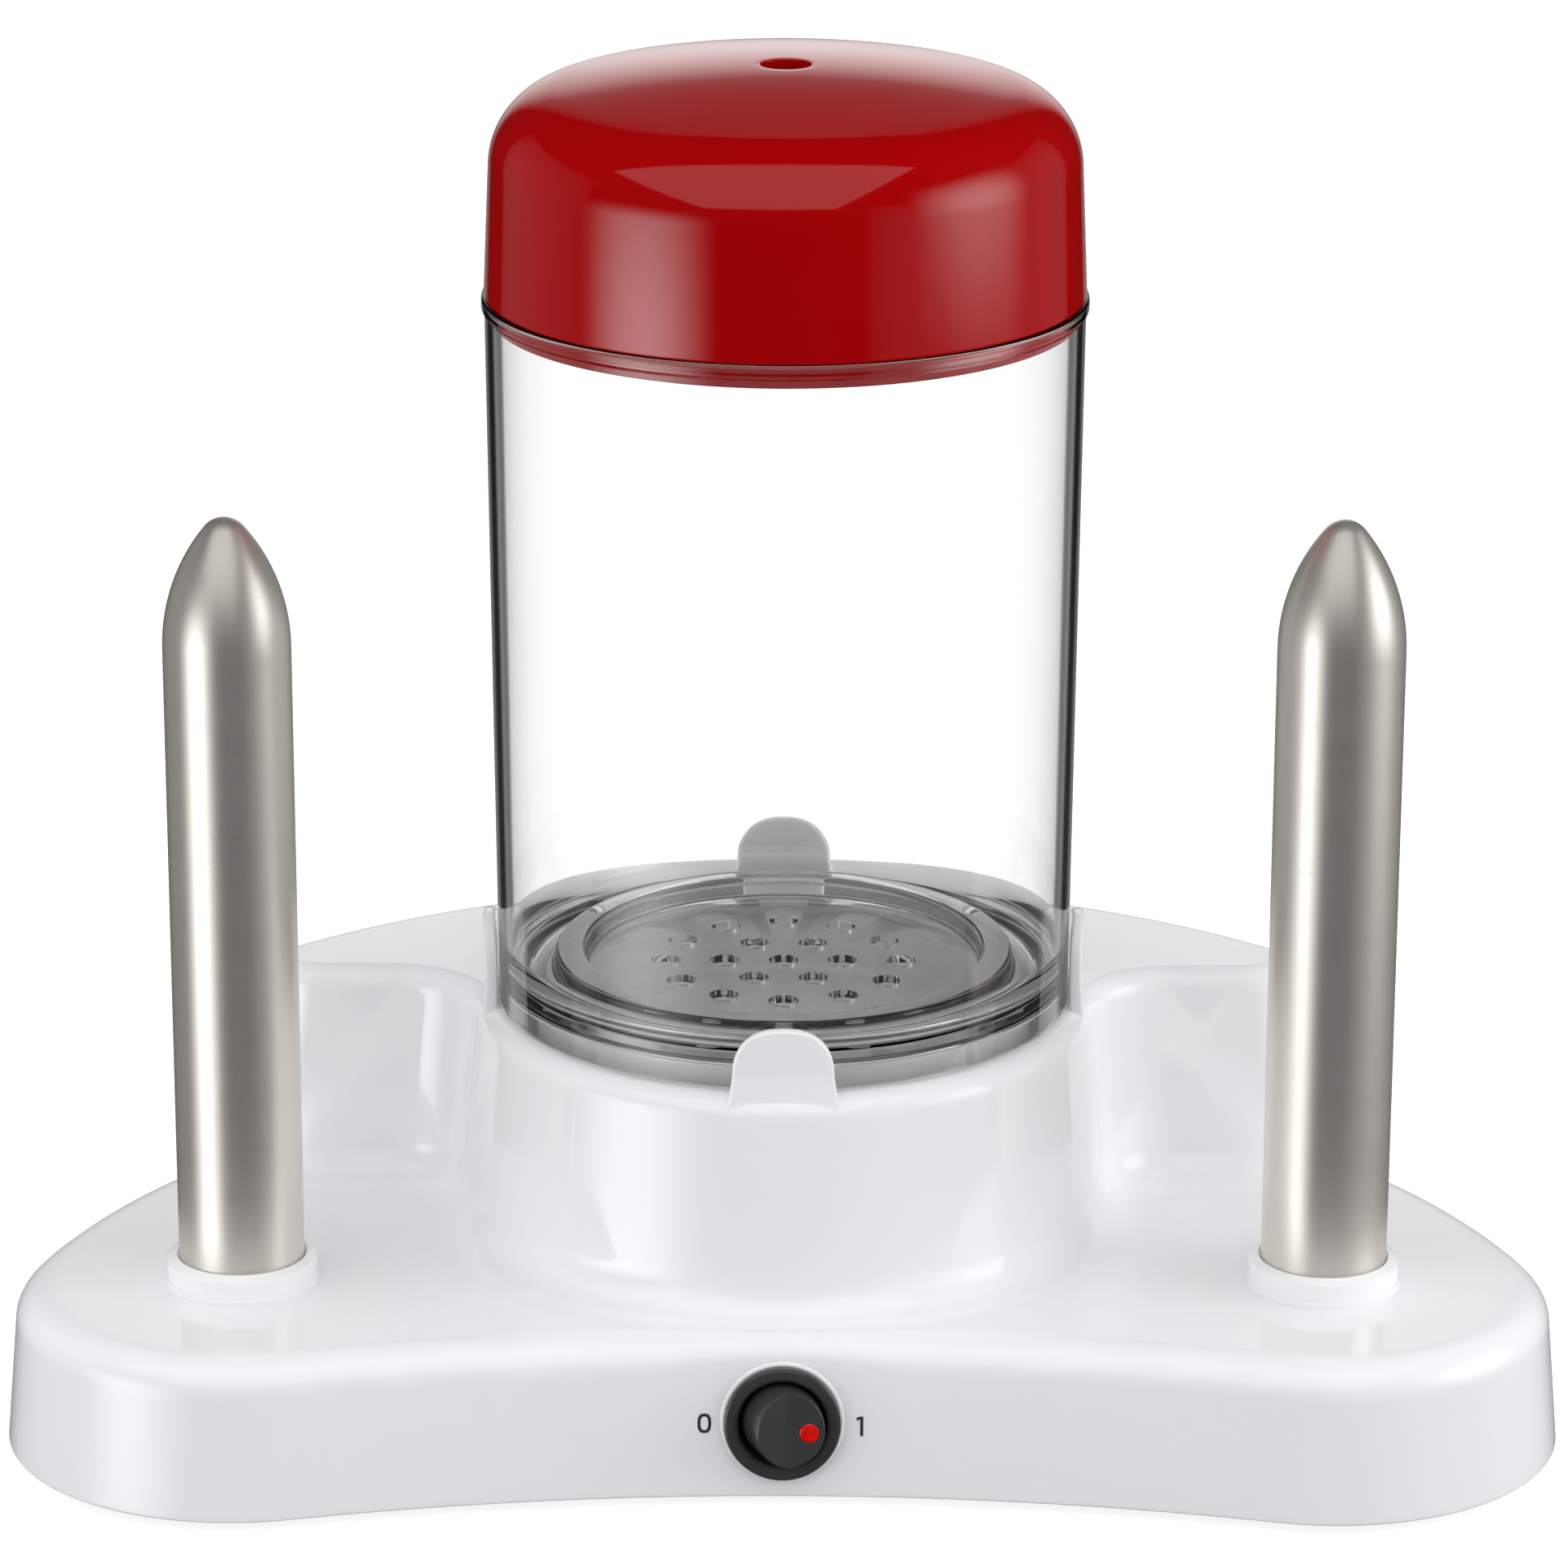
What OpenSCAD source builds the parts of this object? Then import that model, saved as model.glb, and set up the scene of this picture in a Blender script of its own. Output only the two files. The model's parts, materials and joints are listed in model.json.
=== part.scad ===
// A table machine that steams sausages in a clear jar and warms bread on two heated spikes.
// +Z is up, the machine faces -Y, and the origin is on the table under the middle of its outline.

/* [Base] */
// Distance between the axes of the two spikes
spike_spacing = 216; // [200:1:240]
// How far the spikes stand in front of the jar's axis
spike_setback = 45.5; // [40:0.5:52]
// Radius of each round end of the base, at its lower edge
lobe_r = 47.6; // [44:0.2:54]
// Ledge between the tower's wall and the front wall, at the height of the deck
waist_ledge = 10.3; // [8:0.1:16]
// Distance from the tower's top edge back to the rear wall, at the height of the deck
rear_margin = 15.8; // [12:0.2:22]
// Height of the deck above the table
deck_h = 34.5; // [32:0.5:40]
// Lean of the base's outer wall, in degrees
base_draft = 5.2; // [3:0.1:7]
// Rounding of the deck's edge
deck_edge_r = 6.5; // [4:0.5:9]
// Gap between the shell's lower edge and the table
shell_lift = 2.4; // [1:0.1:3]
// Wall thickness of the shell
wall = 2.5; // [2:0.1:3]

/* [Tower and shoulders] */
// Height of the seat that the jar stands on
seat_h = 79; // [74:0.5:90]
// Flat rim of the seat outside the jar's foot
seat_margin = 0.2; // [0:0.1:2]
// Lean of the tower's wall, in degrees
tower_draft = 5.5; // [3:0.1:6]
// Rounding at the tower's foot
tower_foot_r = 8; // [4:0.5:9]
// Rounding of the tower's top edge
tower_edge_r = 4; // [2:0.5:5]
// Distance from the jar's axis back to the front of the shoulders
shoulder_front = 13; // [10:1:16]
// Radius of the flare between tower and shoulder
shoulder_flare_r = 20; // [18:1:24]
// Radius of the outer end of each shoulder
shoulder_end_r = 10; // [8:1:12]
// Step between the rear wall of the base and that of the shoulders
rear_step = 3; // [2:0.5:5]

/* [Jar tabs] */
// Width of each locating tab
tab_w = 20; // [14:1:26]
// Height of the front tab above the seat
tab_h = 14; // [11:0.5:20]
// Height of the other tabs above the seat
side_tab_h = 17.5; // [11:0.5:20]
// Thickness of each tab
tab_t = 2.3; // [1.6:0.1:3]
// Gap between a tab and the jar's foot
tab_gap = 0.9; // [0.5:0.1:1.5]

/* [Jar] */
// Outer radius of the jar's foot
jar_foot_r = 58; // [54:0.5:62]
// How much wider the rim bead is than the foot, in radius
jar_flare = 2.1; // [1:0.1:4]
// Height of the jar
jar_h = 147; // [120:1:170]
// Wall thickness of the jar
jar_wall = 1.6; // [1.4:0.1:3.5]
// Height of the rim bead
bead_h = 3; // [2:0.5:5]
// How far the rim bead stands out of the wall
bead_out = 0.6; // [0.3:0.1:1]
// Height of the floor's upper face above the foot
jar_floor_h = 7; // [6:0.5:12]
// Rounding inside the jar between its floor and its wall
jar_corner_r = 8; // [2:0.5:8]
// Rise of the raised ring on the floor
ring_rise = 3.5; // [2:0.5:5]
// How far the raised ring lies inside the dish's edge
ring_margin = 2.4; // [2:0.2:5]
// Width of the raised ring
ring_w = 7; // [5:0.5:9]
// Diameter of the steam holes in the floor
steam_hole_d = 6; // [4:0.5:8]
// Gap between a foot or rim and what stands on it
seat_clear = 0.1; // [0.05:0.05:0.3]

/* [Lid] */
// Height of the lid above the jar's rim
lid_h = 45.6; // [40:0.2:56]
// How far the lid's lower edge stays inside the rim bead
lid_inset = 0.5; // [0.2:0.1:1.5]
// Lean of the lid's side, in degrees
lid_draft = 2.5; // [1:0.1:4]
// Radius of the lid's shoulder
lid_shoulder_r = 16; // [10:0.5:20]
// Radius of the lid's shallow dome
lid_dome_r = 248; // [140:2:300]
// Wall thickness of the lid
lid_wall = 2.2; // [1.6:0.1:3]
// Diameter of the vent hole
vent_d = 10; // [6:0.5:14]
// Depth of the skirt that hangs inside the jar
lid_skirt_h = 5; // [3:0.5:8]
// Gap between the skirt and the jar's wall
lid_skirt_gap = 0.5; // [0.3:0.1:1]

/* [Boiler] */
// Gap between the water dish and the wall of its well
dish_gap = 5.6; // [3:0.2:8]
// Height of the dish's rim above the seat
dish_rim_h = 3.8; // [2:0.2:4]
// Sheet thickness of the dish
dish_t = 1; // [0.8:0.1:1.5]
// Depth of the well in the tower's top
well_depth = 17; // [12:0.5:22]
// Width of the seat ring that carries the jar's foot
seat_ring_w = 3; // [2.5:0.1:4]
// Width of the ledge at the bottom of the well
well_ledge_w = 13; // [10:0.5:16]
// Thickness of the gasket under the dish
gasket_t = 1.5; // [1:0.1:3]
// Thickness of the aluminium diffuser plate
diffuser_t = 3; // [2:0.5:5]
// Radius of the heating ring's centre line
heater_ring_r = 30; // [26:0.5:34]
// Radius of the heating ring's tube
heater_tube_r = 3.2; // [2.5:0.1:4]
// Width of the strap that presses the heating ring
strap_w = 12; // [8:0.5:14]
// Thickness of the strap and the clamp plates
plate_t = 1.5; // [1:0.1:2.5]

/* [Spikes] */
// Diameter of each spike
spike_d = 25; // [20:0.5:28]
// Height of each spike above its collar
spike_h = 152; // [120:1:180]
// Length of the spike's tapered tip
spike_tip_h = 26; // [18:1:34]
// Radius of the round nose of the tip
spike_nose_r = 5; // [3:0.5:7]
// Wall thickness of the spike tube
spike_wall = 1; // [0.8:0.1:1.5]
// Height of the collar above the deck
collar_h = 5.8; // [4:0.2:8]
// Wall thickness of the collar above its base step
collar_wall = 2.5; // [2:0.1:3.5]
// Height of the collar's wider base step
collar_step_h = 1.2; // [1:0.1:3]
// Width of the collar's base step
collar_step_w = 0.4; // [0.3:0.1:2]
// Width of the flange at the spike's lower end
spike_flange_w = 5; // [3:0.5:7]
// Length of the bosses that carry each clamp plate
clamp_drop = 6; // [5:0.5:8]
// Gap between the heating rod and the inside of its spike
rod_gap = 5.5; // [4:0.5:7]
// How far the heating rod ends below the spike's tip
rod_short = 21; // [10:1:40]

/* [Switch] */
// Width of the bezel's flange outside the barrel
bezel_flange = 1.5; // [1:0.1:3]
// Height of the bezel above its pad on the wall
bezel_h = 2.2; // [1.6:0.1:3]
// Slope at the bezel's mouth, in width and depth
bezel_mouth = 0.6; // [0.3:0.1:1]
// How much wider the pad under the bezel is, in radius
pad_margin = 0.7; // [0.4:0.1:1]
// Diameter of the switch's barrel
barrel_d = 20; // [18:0.2:20.4]
// Length of the barrel behind the wall
barrel_len = 14; // [12:0.5:18]
// Height of the switch's centre above the table
switch_h = 17.9; // [15:0.1:18.5]
// Wall thickness of the barrel round the rocker
barrel_wall = 1.2; // [0.8:0.1:1.5]
// Gap between the rocker and the barrel
rocker_gap = 1; // [0.8:0.05:1.2]
// Height of the rocker's valley above its pivot
rocker_h = 6.5; // [5.5:0.1:7]
// Tilt of the rocker to each side, in degrees
rocker_tilt = 13; // [10:0.5:14]
// Lean of the rocker's sides, in degrees
rocker_lean = 8; // [6:0.5:10]
// Diameter of the lamp window in the rocker
lens_d = 3.8; // [2.5:0.1:4.2]

/* [Underside] */
// Thickness of the bottom cover
cover_t = 2.5; // [2:0.1:4]
// Gap between the bottom cover and the shell
cover_gap = 0.4; // [0.2:0.1:1]
// Radius of the rubber feet
foot_r = 9; // [7:0.5:11]
// Distance from the table to the bottom cover
foot_h = 2.2; // [2:0.1:4]
// Diameter of the screws
screw_d = 3; // [2.5:0.1:3.5]
// Diameter of the cord's hole in the gland
cord_hole_d = 7; // [5:0.5:8]
// Height of the gland above the table
gland_h = 15; // [13:0.5:18]
// Diameter of the inner leads
lead_d = 2.4; // [1.8:0.1:3]

/* [Hidden] */
$fn = 96;
over = 1; // how far a cut runs past the face that it opens
pin_fit = 0.05; // radial clearance of a pin or shank in its hole
slip_fit = 0.1; // radial clearance of a piece that drops into its hole
fillet_steps = 3; // straight steps in each quarter turn of the shell's fillets

// Plan of the base: arcs round each spike, a hollow waist in front and one wide arc behind,
// each tangent to the next. The jar's axis is at x = 0, y = 0 until the whole is centred at the end.
spike_x = spike_spacing / 2;
lobe = [spike_x, -spike_setback];
jar_rim_r = jar_foot_r + jar_flare;
tower_r = jar_foot_r + seat_margin + tower_edge_r;
block_lean = (seat_h - deck_h) * tan(tower_draft);
deck_lean = (deck_h - shell_lift) * tan(base_draft);
waist_y = -(tower_r + block_lean + waist_ledge + deck_lean);
rear_y = tower_r + rear_margin + deck_lean;
// Radius and centre of the waist's arc, tangent to both lobes and touching y = waist_y
waist_gap = -waist_y - spike_setback;
waist_r = (spike_x ^ 2 + waist_gap ^ 2 - lobe_r ^ 2) / (2 * (lobe_r - waist_gap));
waist = [0, waist_y - waist_r];
// Centre and radius of the rear arc, tangent to both lobes and touching y = rear_y
rear_gap = rear_y - lobe_r;
rear_setback = (spike_x ^ 2 + spike_setback ^ 2 - rear_gap ^ 2) / (2 * (rear_gap + spike_setback));
rear = [0, -rear_setback];
rear_r = rear_y + rear_setback;
// Plan of the tower and shoulders at the height of the seat
block_rear_r = rear_r - deck_lean - rear_step - block_lean;
flare_y = shoulder_front - shoulder_flare_r;
flare = [sqrt((tower_r + shoulder_flare_r) ^ 2 - flare_y ^ 2), flare_y];
end_y = shoulder_front + shoulder_end_r;
end_x = sqrt((block_rear_r - shoulder_end_r) ^ 2 - (end_y + rear_setback) ^ 2);
shoulder_end = [end_x, end_y];
hub_behind = 1; // from the centres of the shoulders' ends back to the hub
hub = [0, end_y + hub_behind]; // every outline is seen whole from this point
centre_y = -(rear_y - spike_setback - lobe_r) / 2; // puts the outline's middle over the origin

// Heights
deck_under = deck_h - wall;
cover_top = foot_h + cover_t;
well_r = jar_foot_r - seat_ring_w;
well_floor = seat_h - well_depth;
well_hole_r = well_r - well_ledge_w;
dish_r = well_r - dish_gap;
ring_outer_r = dish_r - ring_margin;
dish_bottom = well_floor + gasket_t;
dish_rim = seat_h + dish_rim_h;
diffuser_bottom = dish_bottom - diffuser_t;
elbow_swell = 1.02; // lets the ball at a heater's bend cover the joint of its two tubes
heater_z = diffuser_bottom - heater_tube_r * elbow_swell;
strap_top = heater_z - heater_tube_r;
jar_z = seat_h + seat_clear;
lid_z = jar_z + jar_h + seat_clear;
collar_top = deck_h + collar_h;

// Places of the repeated small pieces, on the right-hand side
boss_r = 4;
front_screw = [-30, -24.5]; // from the spike's axis
rear_screw = [12, 41.5]; // from the spike's axis
shoulder_screw = [40, -24.8]; // from the middle of the rear wall
front_foot = [14, -20.5]; // from the spike's axis
rear_foot = [-30, -38]; // from the spike's axis in x, from the rear wall in y
deck_screw_spots = [lobe + front_screw, lobe + rear_screw];
shoulder_screw_spot = [0, rear_y] + shoulder_screw;
screw_spots = concat(deck_screw_spots, [shoulder_screw_spot]);
foot_spots = [lobe + front_foot, [spike_x, rear_y] + rear_foot];
shank_r = screw_d / 2;
head_r = screw_d;
head_t = 1.6;
screw_len = 9;
sides = [-1, 1];

// Outline geometry
function unit(v) = v / norm(v);
function bearing(p) = atan2(p.y - hub.y, p.x - hub.x);
// Distance from the hub to a circle, along bearing a: to its far side or its near side
function reach(a, c, r, far) =
    let (w = c - hub, b = w * [cos(a), sin(a)])
    b + (far ? 1 : -1) * sqrt(max(0, b * b - w * w + r * r));
function right_side(a) = cos(a) >= 0 ? a : 180 - a;
// Distance from the hub to the base's outline, drawn in by inset
function base_reach(bearing_a, inset) =
    let (
        a = right_side(bearing_a),
        waist_end = lobe + (lobe_r - inset) * unit(waist - lobe),
        lobe_end = lobe + (lobe_r - inset) * unit(lobe - rear)
    )
    a < bearing(waist_end) ? reach(a, waist, waist_r + inset, false)
    : a < bearing(lobe_end) ? reach(a, lobe, lobe_r - inset, true)
    : reach(a, rear, rear_r - inset, true);
// Distance from the hub to the outline of tower and shoulders, let out by outset
function block_reach(bearing_a, outset) =
    let (
        a = right_side(bearing_a),
        front_y = shoulder_front - outset,
        tower_end = unit(flare) * (tower_r + outset),
        rear_end = shoulder_end + (shoulder_end_r + outset) * unit(shoulder_end - rear)
    )
    a < bearing(tower_end) ? reach(a, [0, 0], tower_r + outset, true)
    : a < bearing([flare.x, front_y]) ? reach(a, flare, shoulder_flare_r - outset, false)
    : a < bearing([shoulder_end.x, front_y]) ? (front_y - hub.y) / sin(a)
    : a < bearing(rear_end) ? reach(a, shoulder_end, shoulder_end_r + outset, true)
    : reach(a, rear, block_rear_r + outset, true);
function base_inset(z) = (z - shell_lift) * tan(base_draft);
function block_outset(z) = (seat_h - z) * tan(tower_draft);
// Share of the full fillets that fits on the ledge between base and tower
ledge_min = 0.4;
function fillet_share(a) =
    let (
        sharp = base_reach(a, deck_lean) - block_reach(a, block_lean),
        round = base_reach(a, deck_lean + deck_edge_r) - block_reach(a, block_lean + tower_foot_r)
    )
    round >= ledge_min ? 1 : (sharp - ledge_min) / (sharp - round);

// Bearings of the columns of facets, closest where the outlines turn most
function steps(from, to, n) = [for (i = [0:n - 1]) from + (to - from) * i / n];
waist_bearing = bearing(lobe + lobe_r * unit(waist - lobe));
lobe_bearing = bearing(lobe + lobe_r * unit(lobe - rear));
flare_bearing = bearing([flare.x, shoulder_front]);
end_bearing = bearing(shoulder_end + shoulder_end_r * unit(shoulder_end - rear));
stretch_ends = [-90, waist_bearing, lobe_bearing, flare_bearing, end_bearing, 90];
stretch_columns = [9, 18, 8, 10, 12];
right_bearings = [
    for (i = [0:len(stretch_columns) - 1])
        each steps(stretch_ends[i], stretch_ends[i + 1], stretch_columns[i])
];
half_n = len(right_bearings);
bearings = concat(right_bearings, [90], [for (i = [half_n - 1:-1:1]) 180 - right_bearings[i]]);

function spot(a, distance, z) = [hub.x + distance * cos(a), hub.y + distance * sin(a), z];
quarter = [for (k = [0:fillet_steps]) 90 * k / fillet_steps];
// Heights and points of one column of the outer skin, from the lower edge to the seat
function skin_column(a) =
    let (share = fillet_share(a), edge = share * deck_edge_r, foot = share * tower_foot_r)
    concat(
        [spot(a, base_reach(a, 0), shell_lift)],
        [for (q = quarter)
            let (z = deck_h - edge * (1 - sin(q)))
            spot(a, base_reach(a, base_inset(z) + edge * (1 - cos(q))), z)],
        [for (q = quarter)
            let (z = deck_h + foot * (1 - cos(q)))
            spot(a, block_reach(a, block_outset(z) + foot * (1 - sin(q))), z)],
        [for (q = quarter)
            let (z = seat_h - tower_edge_r * (1 - sin(q)))
            spot(a, block_reach(a, block_outset(z) - tower_edge_r * (1 - cos(q))), z)]
    );

// A closed skin over columns of points that all have the same number of rows, with the middles of its two ends
module skin(columns, low, high) {
    n = len(columns);
    rows = len(columns[0]);
    points = concat([for (c = columns) each c], [low, high]);
    walls = [
        for (i = [0:n - 1], j = [0:rows - 2])
            let (a = i * rows + j, b = ((i + 1) % n) * rows + j)
            each [[a, a + 1, b + 1], [a, b + 1, b]]
    ];
    ends = [
        for (i = [0:n - 1])
            let (a = i * rows, b = ((i + 1) % n) * rows)
            each [[a, b, n * rows], [b + rows - 1, a + rows - 1, n * rows + 1]]
    ];
    polyhedron(points, concat(walls, ends));
}

module outer_skin() {
    skin([for (a = bearings) skin_column(a)], [hub.x, hub.y, shell_lift], [hub.x, hub.y, seat_h]);
}

// Space inside the shell, chamfered where the deck's edge is rounded
module inner_skin() {
    low_z = shell_lift - over;
    chamfer_z = deck_h - deck_edge_r;
    high_z = seat_h - wall;
    function inner_column(a) =
        let (
            tower_d = block_reach(a, block_outset(deck_under) - wall),
            deck_d = base_reach(a, wall + base_inset(deck_under) + deck_edge_r)
        )
        [
            spot(a, base_reach(a, wall + base_inset(low_z)), low_z),
            spot(a, base_reach(a, wall + base_inset(chamfer_z)), chamfer_z),
            spot(a, max(deck_d, tower_d + ledge_min), deck_under),
            spot(a, tower_d, deck_under),
            spot(a, block_reach(a, block_outset(high_z) - wall), high_z)
        ];
    skin([for (a = bearings) inner_column(a)], [hub.x, hub.y, low_z], [hub.x, hub.y, high_z]);
}

module centred() {
    translate([0, centre_y, 0])
        children();
}

module on_both_sides(spots) {
    for (p = spots, side = sides)
        translate([side * p.x, p.y, 0])
            children();
}

module at_spike(side) {
    translate([side * spike_x, -spike_setback, 0])
        children();
}

// A tube, or a disc with a hole
module ring(r_out, r_in, z0, z1) {
    translate([0, 0, z0])
        difference() {
            cylinder(r = r_out, h = z1 - z0);
            translate([0, 0, -over])
                cylinder(r = r_in, h = z1 - z0 + 2 * over);
        }
}

module disc(r, z0, z1) {
    translate([0, 0, z0])
        cylinder(r = r, h = z1 - z0);
}

// A screw that points up, with its seat under the head's upper face at z
module screw(z, length) {
    disc(head_r, z - head_t, z);
    disc(shank_r, z - head_t / 2, z + length);
}

// Frame of the switch, on the flat pad that carries its bezel: z out of the front wall, y up along it
function front_wall_y(z) = waist_y + base_inset(z);
bezel_r = barrel_d / 2 + bezel_flange;
pad_r = bezel_r + pad_margin;
pad_proud = 0.3; // of the pad over the hollow wall at its sides
pad_rise = pad_proud + waist_r - sqrt(waist_r ^ 2 - pad_r ^ 2);
module at_switch() {
    translate([0, front_wall_y(switch_h), switch_h])
        rotate([90 - base_draft, 0, 0])
            translate([0, 0, pad_rise])
                children();
}

// Frame of the cord gland: z out of the rear wall
gland_face = 0.25; // depth of the flat that its flange sits on
module at_gland() {
    translate([0, rear_y - base_inset(gland_h), gland_h])
        rotate([base_draft - 90, 0, 0])
            children();
}

// Shell
tab_inner_r = jar_foot_r + tab_gap;
tab_sink = 3; // how far a tab runs down into the shell
flange_r = spike_d / 2 + spike_flange_w;
boss_gap = 1.5; // between a spike's flange and its clamp bosses
clamp_span = flange_r + boss_gap + boss_r; // from a spike's axis to each of its clamp screws
strap_span = (well_hole_r + well_r) / 2; // from the jar's axis to each strap screw
hole_r = shank_r + pin_fit;
gland_wall = 2;
gland_r = cord_hole_d / 2 + gland_wall;
gland_flange_w = 2;
wall_hole_depth = 4 * wall; // takes a hole through the leaning wall
lens_r = lens_d / 2;
foot_stud_r = 2.5;

module tab(high) {
    intersection() {
        ring(tab_inner_r + tab_t, tab_inner_r, seat_h - tab_sink, seat_h + high + over);
        translate([0, 0, seat_h])
            rotate([90, 0, 0])
                linear_extrude(tower_r + over)
                    union() {
                        translate([-tab_w / 2, -tab_sink])
                            square([tab_w, tab_sink + high - tab_w / 2]);
                        translate([0, high - tab_w / 2])
                            circle(tab_w / 2);
                    }
    }
}

module base_housing() {
    color("white")
    difference() {
        union() {
            difference() {
                outer_skin();
                inner_skin();
            }
            // Well for the dish, with its bottom ledge
            disc(well_r + wall, well_floor - wall, seat_h - wall / 2);
            // Bosses for the strap, the spike clamps and the bottom cover
            for (side = sides)
                translate([side * strap_span, 0, 0])
                    disc(boss_r, strap_top, well_floor - wall / 2);
            for (side = sides, end = sides)
                at_spike(side)
                    translate([end * clamp_span, 0, 0])
                        disc(boss_r, deck_under - clamp_drop, deck_under + wall / 2);
            on_both_sides(deck_screw_spots)
                disc(boss_r, cover_top, deck_under + wall / 2);
            on_both_sides([shoulder_screw_spot])
                disc(boss_r, cover_top, seat_h - wall / 2);
            tab(tab_h);
            for (turn = [90:90:270])
                rotate(turn)
                    tab(side_tab_h);
            at_switch()
                disc(pad_r, -pad_rise - wall / 2, 0);
        }
        disc(well_r, well_floor, seat_h + over);
        disc(well_hole_r, well_floor - wall - over, well_floor + over);
        for (side = sides) {
            translate([side * strap_span, 0, 0])
                disc(hole_r, strap_top - over, well_floor - wall / 2);
            at_spike(side)
                disc(spike_d / 2 + collar_wall, deck_under - over, deck_h + over);
            for (end = sides)
                at_spike(side)
                    translate([end * clamp_span, 0, 0])
                        disc(hole_r, deck_under - clamp_drop - over, deck_under + wall / 2);
        }
        on_both_sides(screw_spots)
            disc(hole_r, cover_top - over, cover_top + screw_len);
        at_switch()
            disc(barrel_d / 2 + slip_fit, -wall_hole_depth, over);
        at_gland() {
            disc(gland_r + slip_fit, -wall_hole_depth, over);
            disc(gland_r + gland_flange_w + slip_fit, -gland_face, wall);
        }
    }
}

// Underside
module bottom_cover() {
    slot_w = 3;
    slot_len = 36;
    slot_step = 8;
    slot_count = 5;
    first_slot_y = -8;
    outline = [for (a = bearings)
        let (d = base_reach(a, wall + cover_gap + base_inset(cover_top)))
        [hub.x + d * cos(a), hub.y + d * sin(a)]];
    color("gainsboro")
    difference() {
        translate([0, 0, foot_h])
            linear_extrude(cover_t)
                polygon(outline);
        on_both_sides(screw_spots) {
            disc(hole_r, foot_h - over, cover_top + over);
            disc(head_r + slip_fit, foot_h - over, foot_h + head_t);
        }
        on_both_sides(foot_spots)
            disc(foot_stud_r + pin_fit, foot_h - over, cover_top + over);
        for (i = [0:slot_count - 1])
            translate([-slot_len / 2, first_slot_y + i * slot_step, foot_h - over])
                cube([slot_len, slot_w, cover_t + 2 * over]);
    }
}

module rubber_feet() {
    foot_round = 0.8;
    knob_h = 1;
    color("dimgray")
    on_both_sides(foot_spots) {
        rotate_extrude()
            polygon([
                [0, 0], [foot_r - foot_round, 0], [foot_r, foot_round], [foot_r, foot_h], [0, foot_h]
            ]);
        disc(foot_stud_r, foot_h - over, cover_top + over);
        disc(foot_stud_r + knob_h, cover_top, cover_top + knob_h);
    }
}

module cover_screws() {
    color("silver")
    on_both_sides(screw_spots)
        screw(foot_h + head_t, cover_t - head_t + screw_len - over);
}

// Boiler
module boiler_dish() {
    rim_r = 1.2; // rolled edge
    color("silver")
    union() {
        difference() {
            disc(dish_r, dish_bottom, dish_rim - rim_r);
            disc(dish_r - dish_t, dish_bottom + dish_t, dish_rim + over);
        }
        translate([0, 0, dish_rim - rim_r])
            rotate_extrude()
                translate([dish_r - rim_r, 0])
                    circle(rim_r, $fn = 32);
    }
}

module boiler_gasket() {
    color("firebrick")
    ring(dish_r - dish_t, well_hole_r + dish_t, well_floor, dish_bottom);
}

diffuser_gap = 2;
diffuser_r = well_hole_r - diffuser_gap;
module diffuser_plate() {
    color("lightgray")
    disc(diffuser_r, diffuser_bottom, dish_bottom);
}

heater_gap = 40; // opening between the ends of the heating ring, in degrees
heater_drop = 12; // how far the ring's ends run down
module ring_heater() {
    color("dimgray")
    union() {
        rotate(90 + heater_gap / 2)
            rotate_extrude(angle = 360 - heater_gap)
                translate([heater_ring_r, heater_z])
                    circle(heater_tube_r, $fn = 32);
        for (side = sides)
            rotate(90 + side * heater_gap / 2)
                translate([heater_ring_r, 0, heater_z]) {
                    sphere(heater_tube_r * elbow_swell, $fn = 32);
                    translate([0, 0, -heater_drop])
                        cylinder(r = heater_tube_r, h = heater_drop, $fn = 32);
                }
    }
}

module heater_strap() {
    color("silver")
    difference() {
        union() {
            translate([-strap_span, -strap_w / 2, strap_top - plate_t])
                cube([2 * strap_span, strap_w, plate_t]);
            for (side = sides)
                translate([side * strap_span, 0, 0])
                    disc(strap_w / 2, strap_top - plate_t, strap_top);
        }
        for (side = sides)
            translate([side * strap_span, 0, 0])
                disc(hole_r, strap_top - plate_t - over, strap_top + over);
    }
}

module strap_screws() {
    depth = well_floor - wall - strap_top;
    color("silver")
    for (side = sides)
        translate([side * strap_span, 0, 0])
            screw(strap_top - plate_t, plate_t + depth);
}

thermostat_r = 8;
thermostat_h = 6;
thermostat_gap = 1; // between the thermostat and the strap
thermostat_y = -(strap_w / 2 + thermostat_gap + thermostat_r);
thermostat_blade_x = 4;
blade_w = 6.3;
blade_t = 0.8;
blade_len = 8;
module thermostat() {
    low = diffuser_bottom - thermostat_h;
    color("tan")
    translate([0, thermostat_y, 0]) {
        disc(thermostat_r, low, diffuser_bottom);
        for (side = sides)
            translate([side * thermostat_blade_x - blade_t / 2, -blade_w / 2, low - blade_len])
                cube([blade_t, blade_w, blade_len + over]);
    }
}

module thermal_fuse() {
    fuse_r = 2;
    fuse_len = 12;
    saddle_w = 4;
    saddle_t = 0.6;
    color("white")
    translate([0, -thermostat_y, diffuser_bottom - fuse_r - saddle_t])
        rotate([0, 90, 0]) {
            cylinder(r = fuse_r, h = fuse_len, center = true, $fn = 32);
            cylinder(r = fuse_r + saddle_t, h = saddle_w, center = true, $fn = 32);
        }
}

// Spikes
spike_top = collar_top + spike_h;
flange_bottom = deck_under - plate_t;
clamp_top = deck_under - clamp_drop;
arc_steps = 10;

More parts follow.
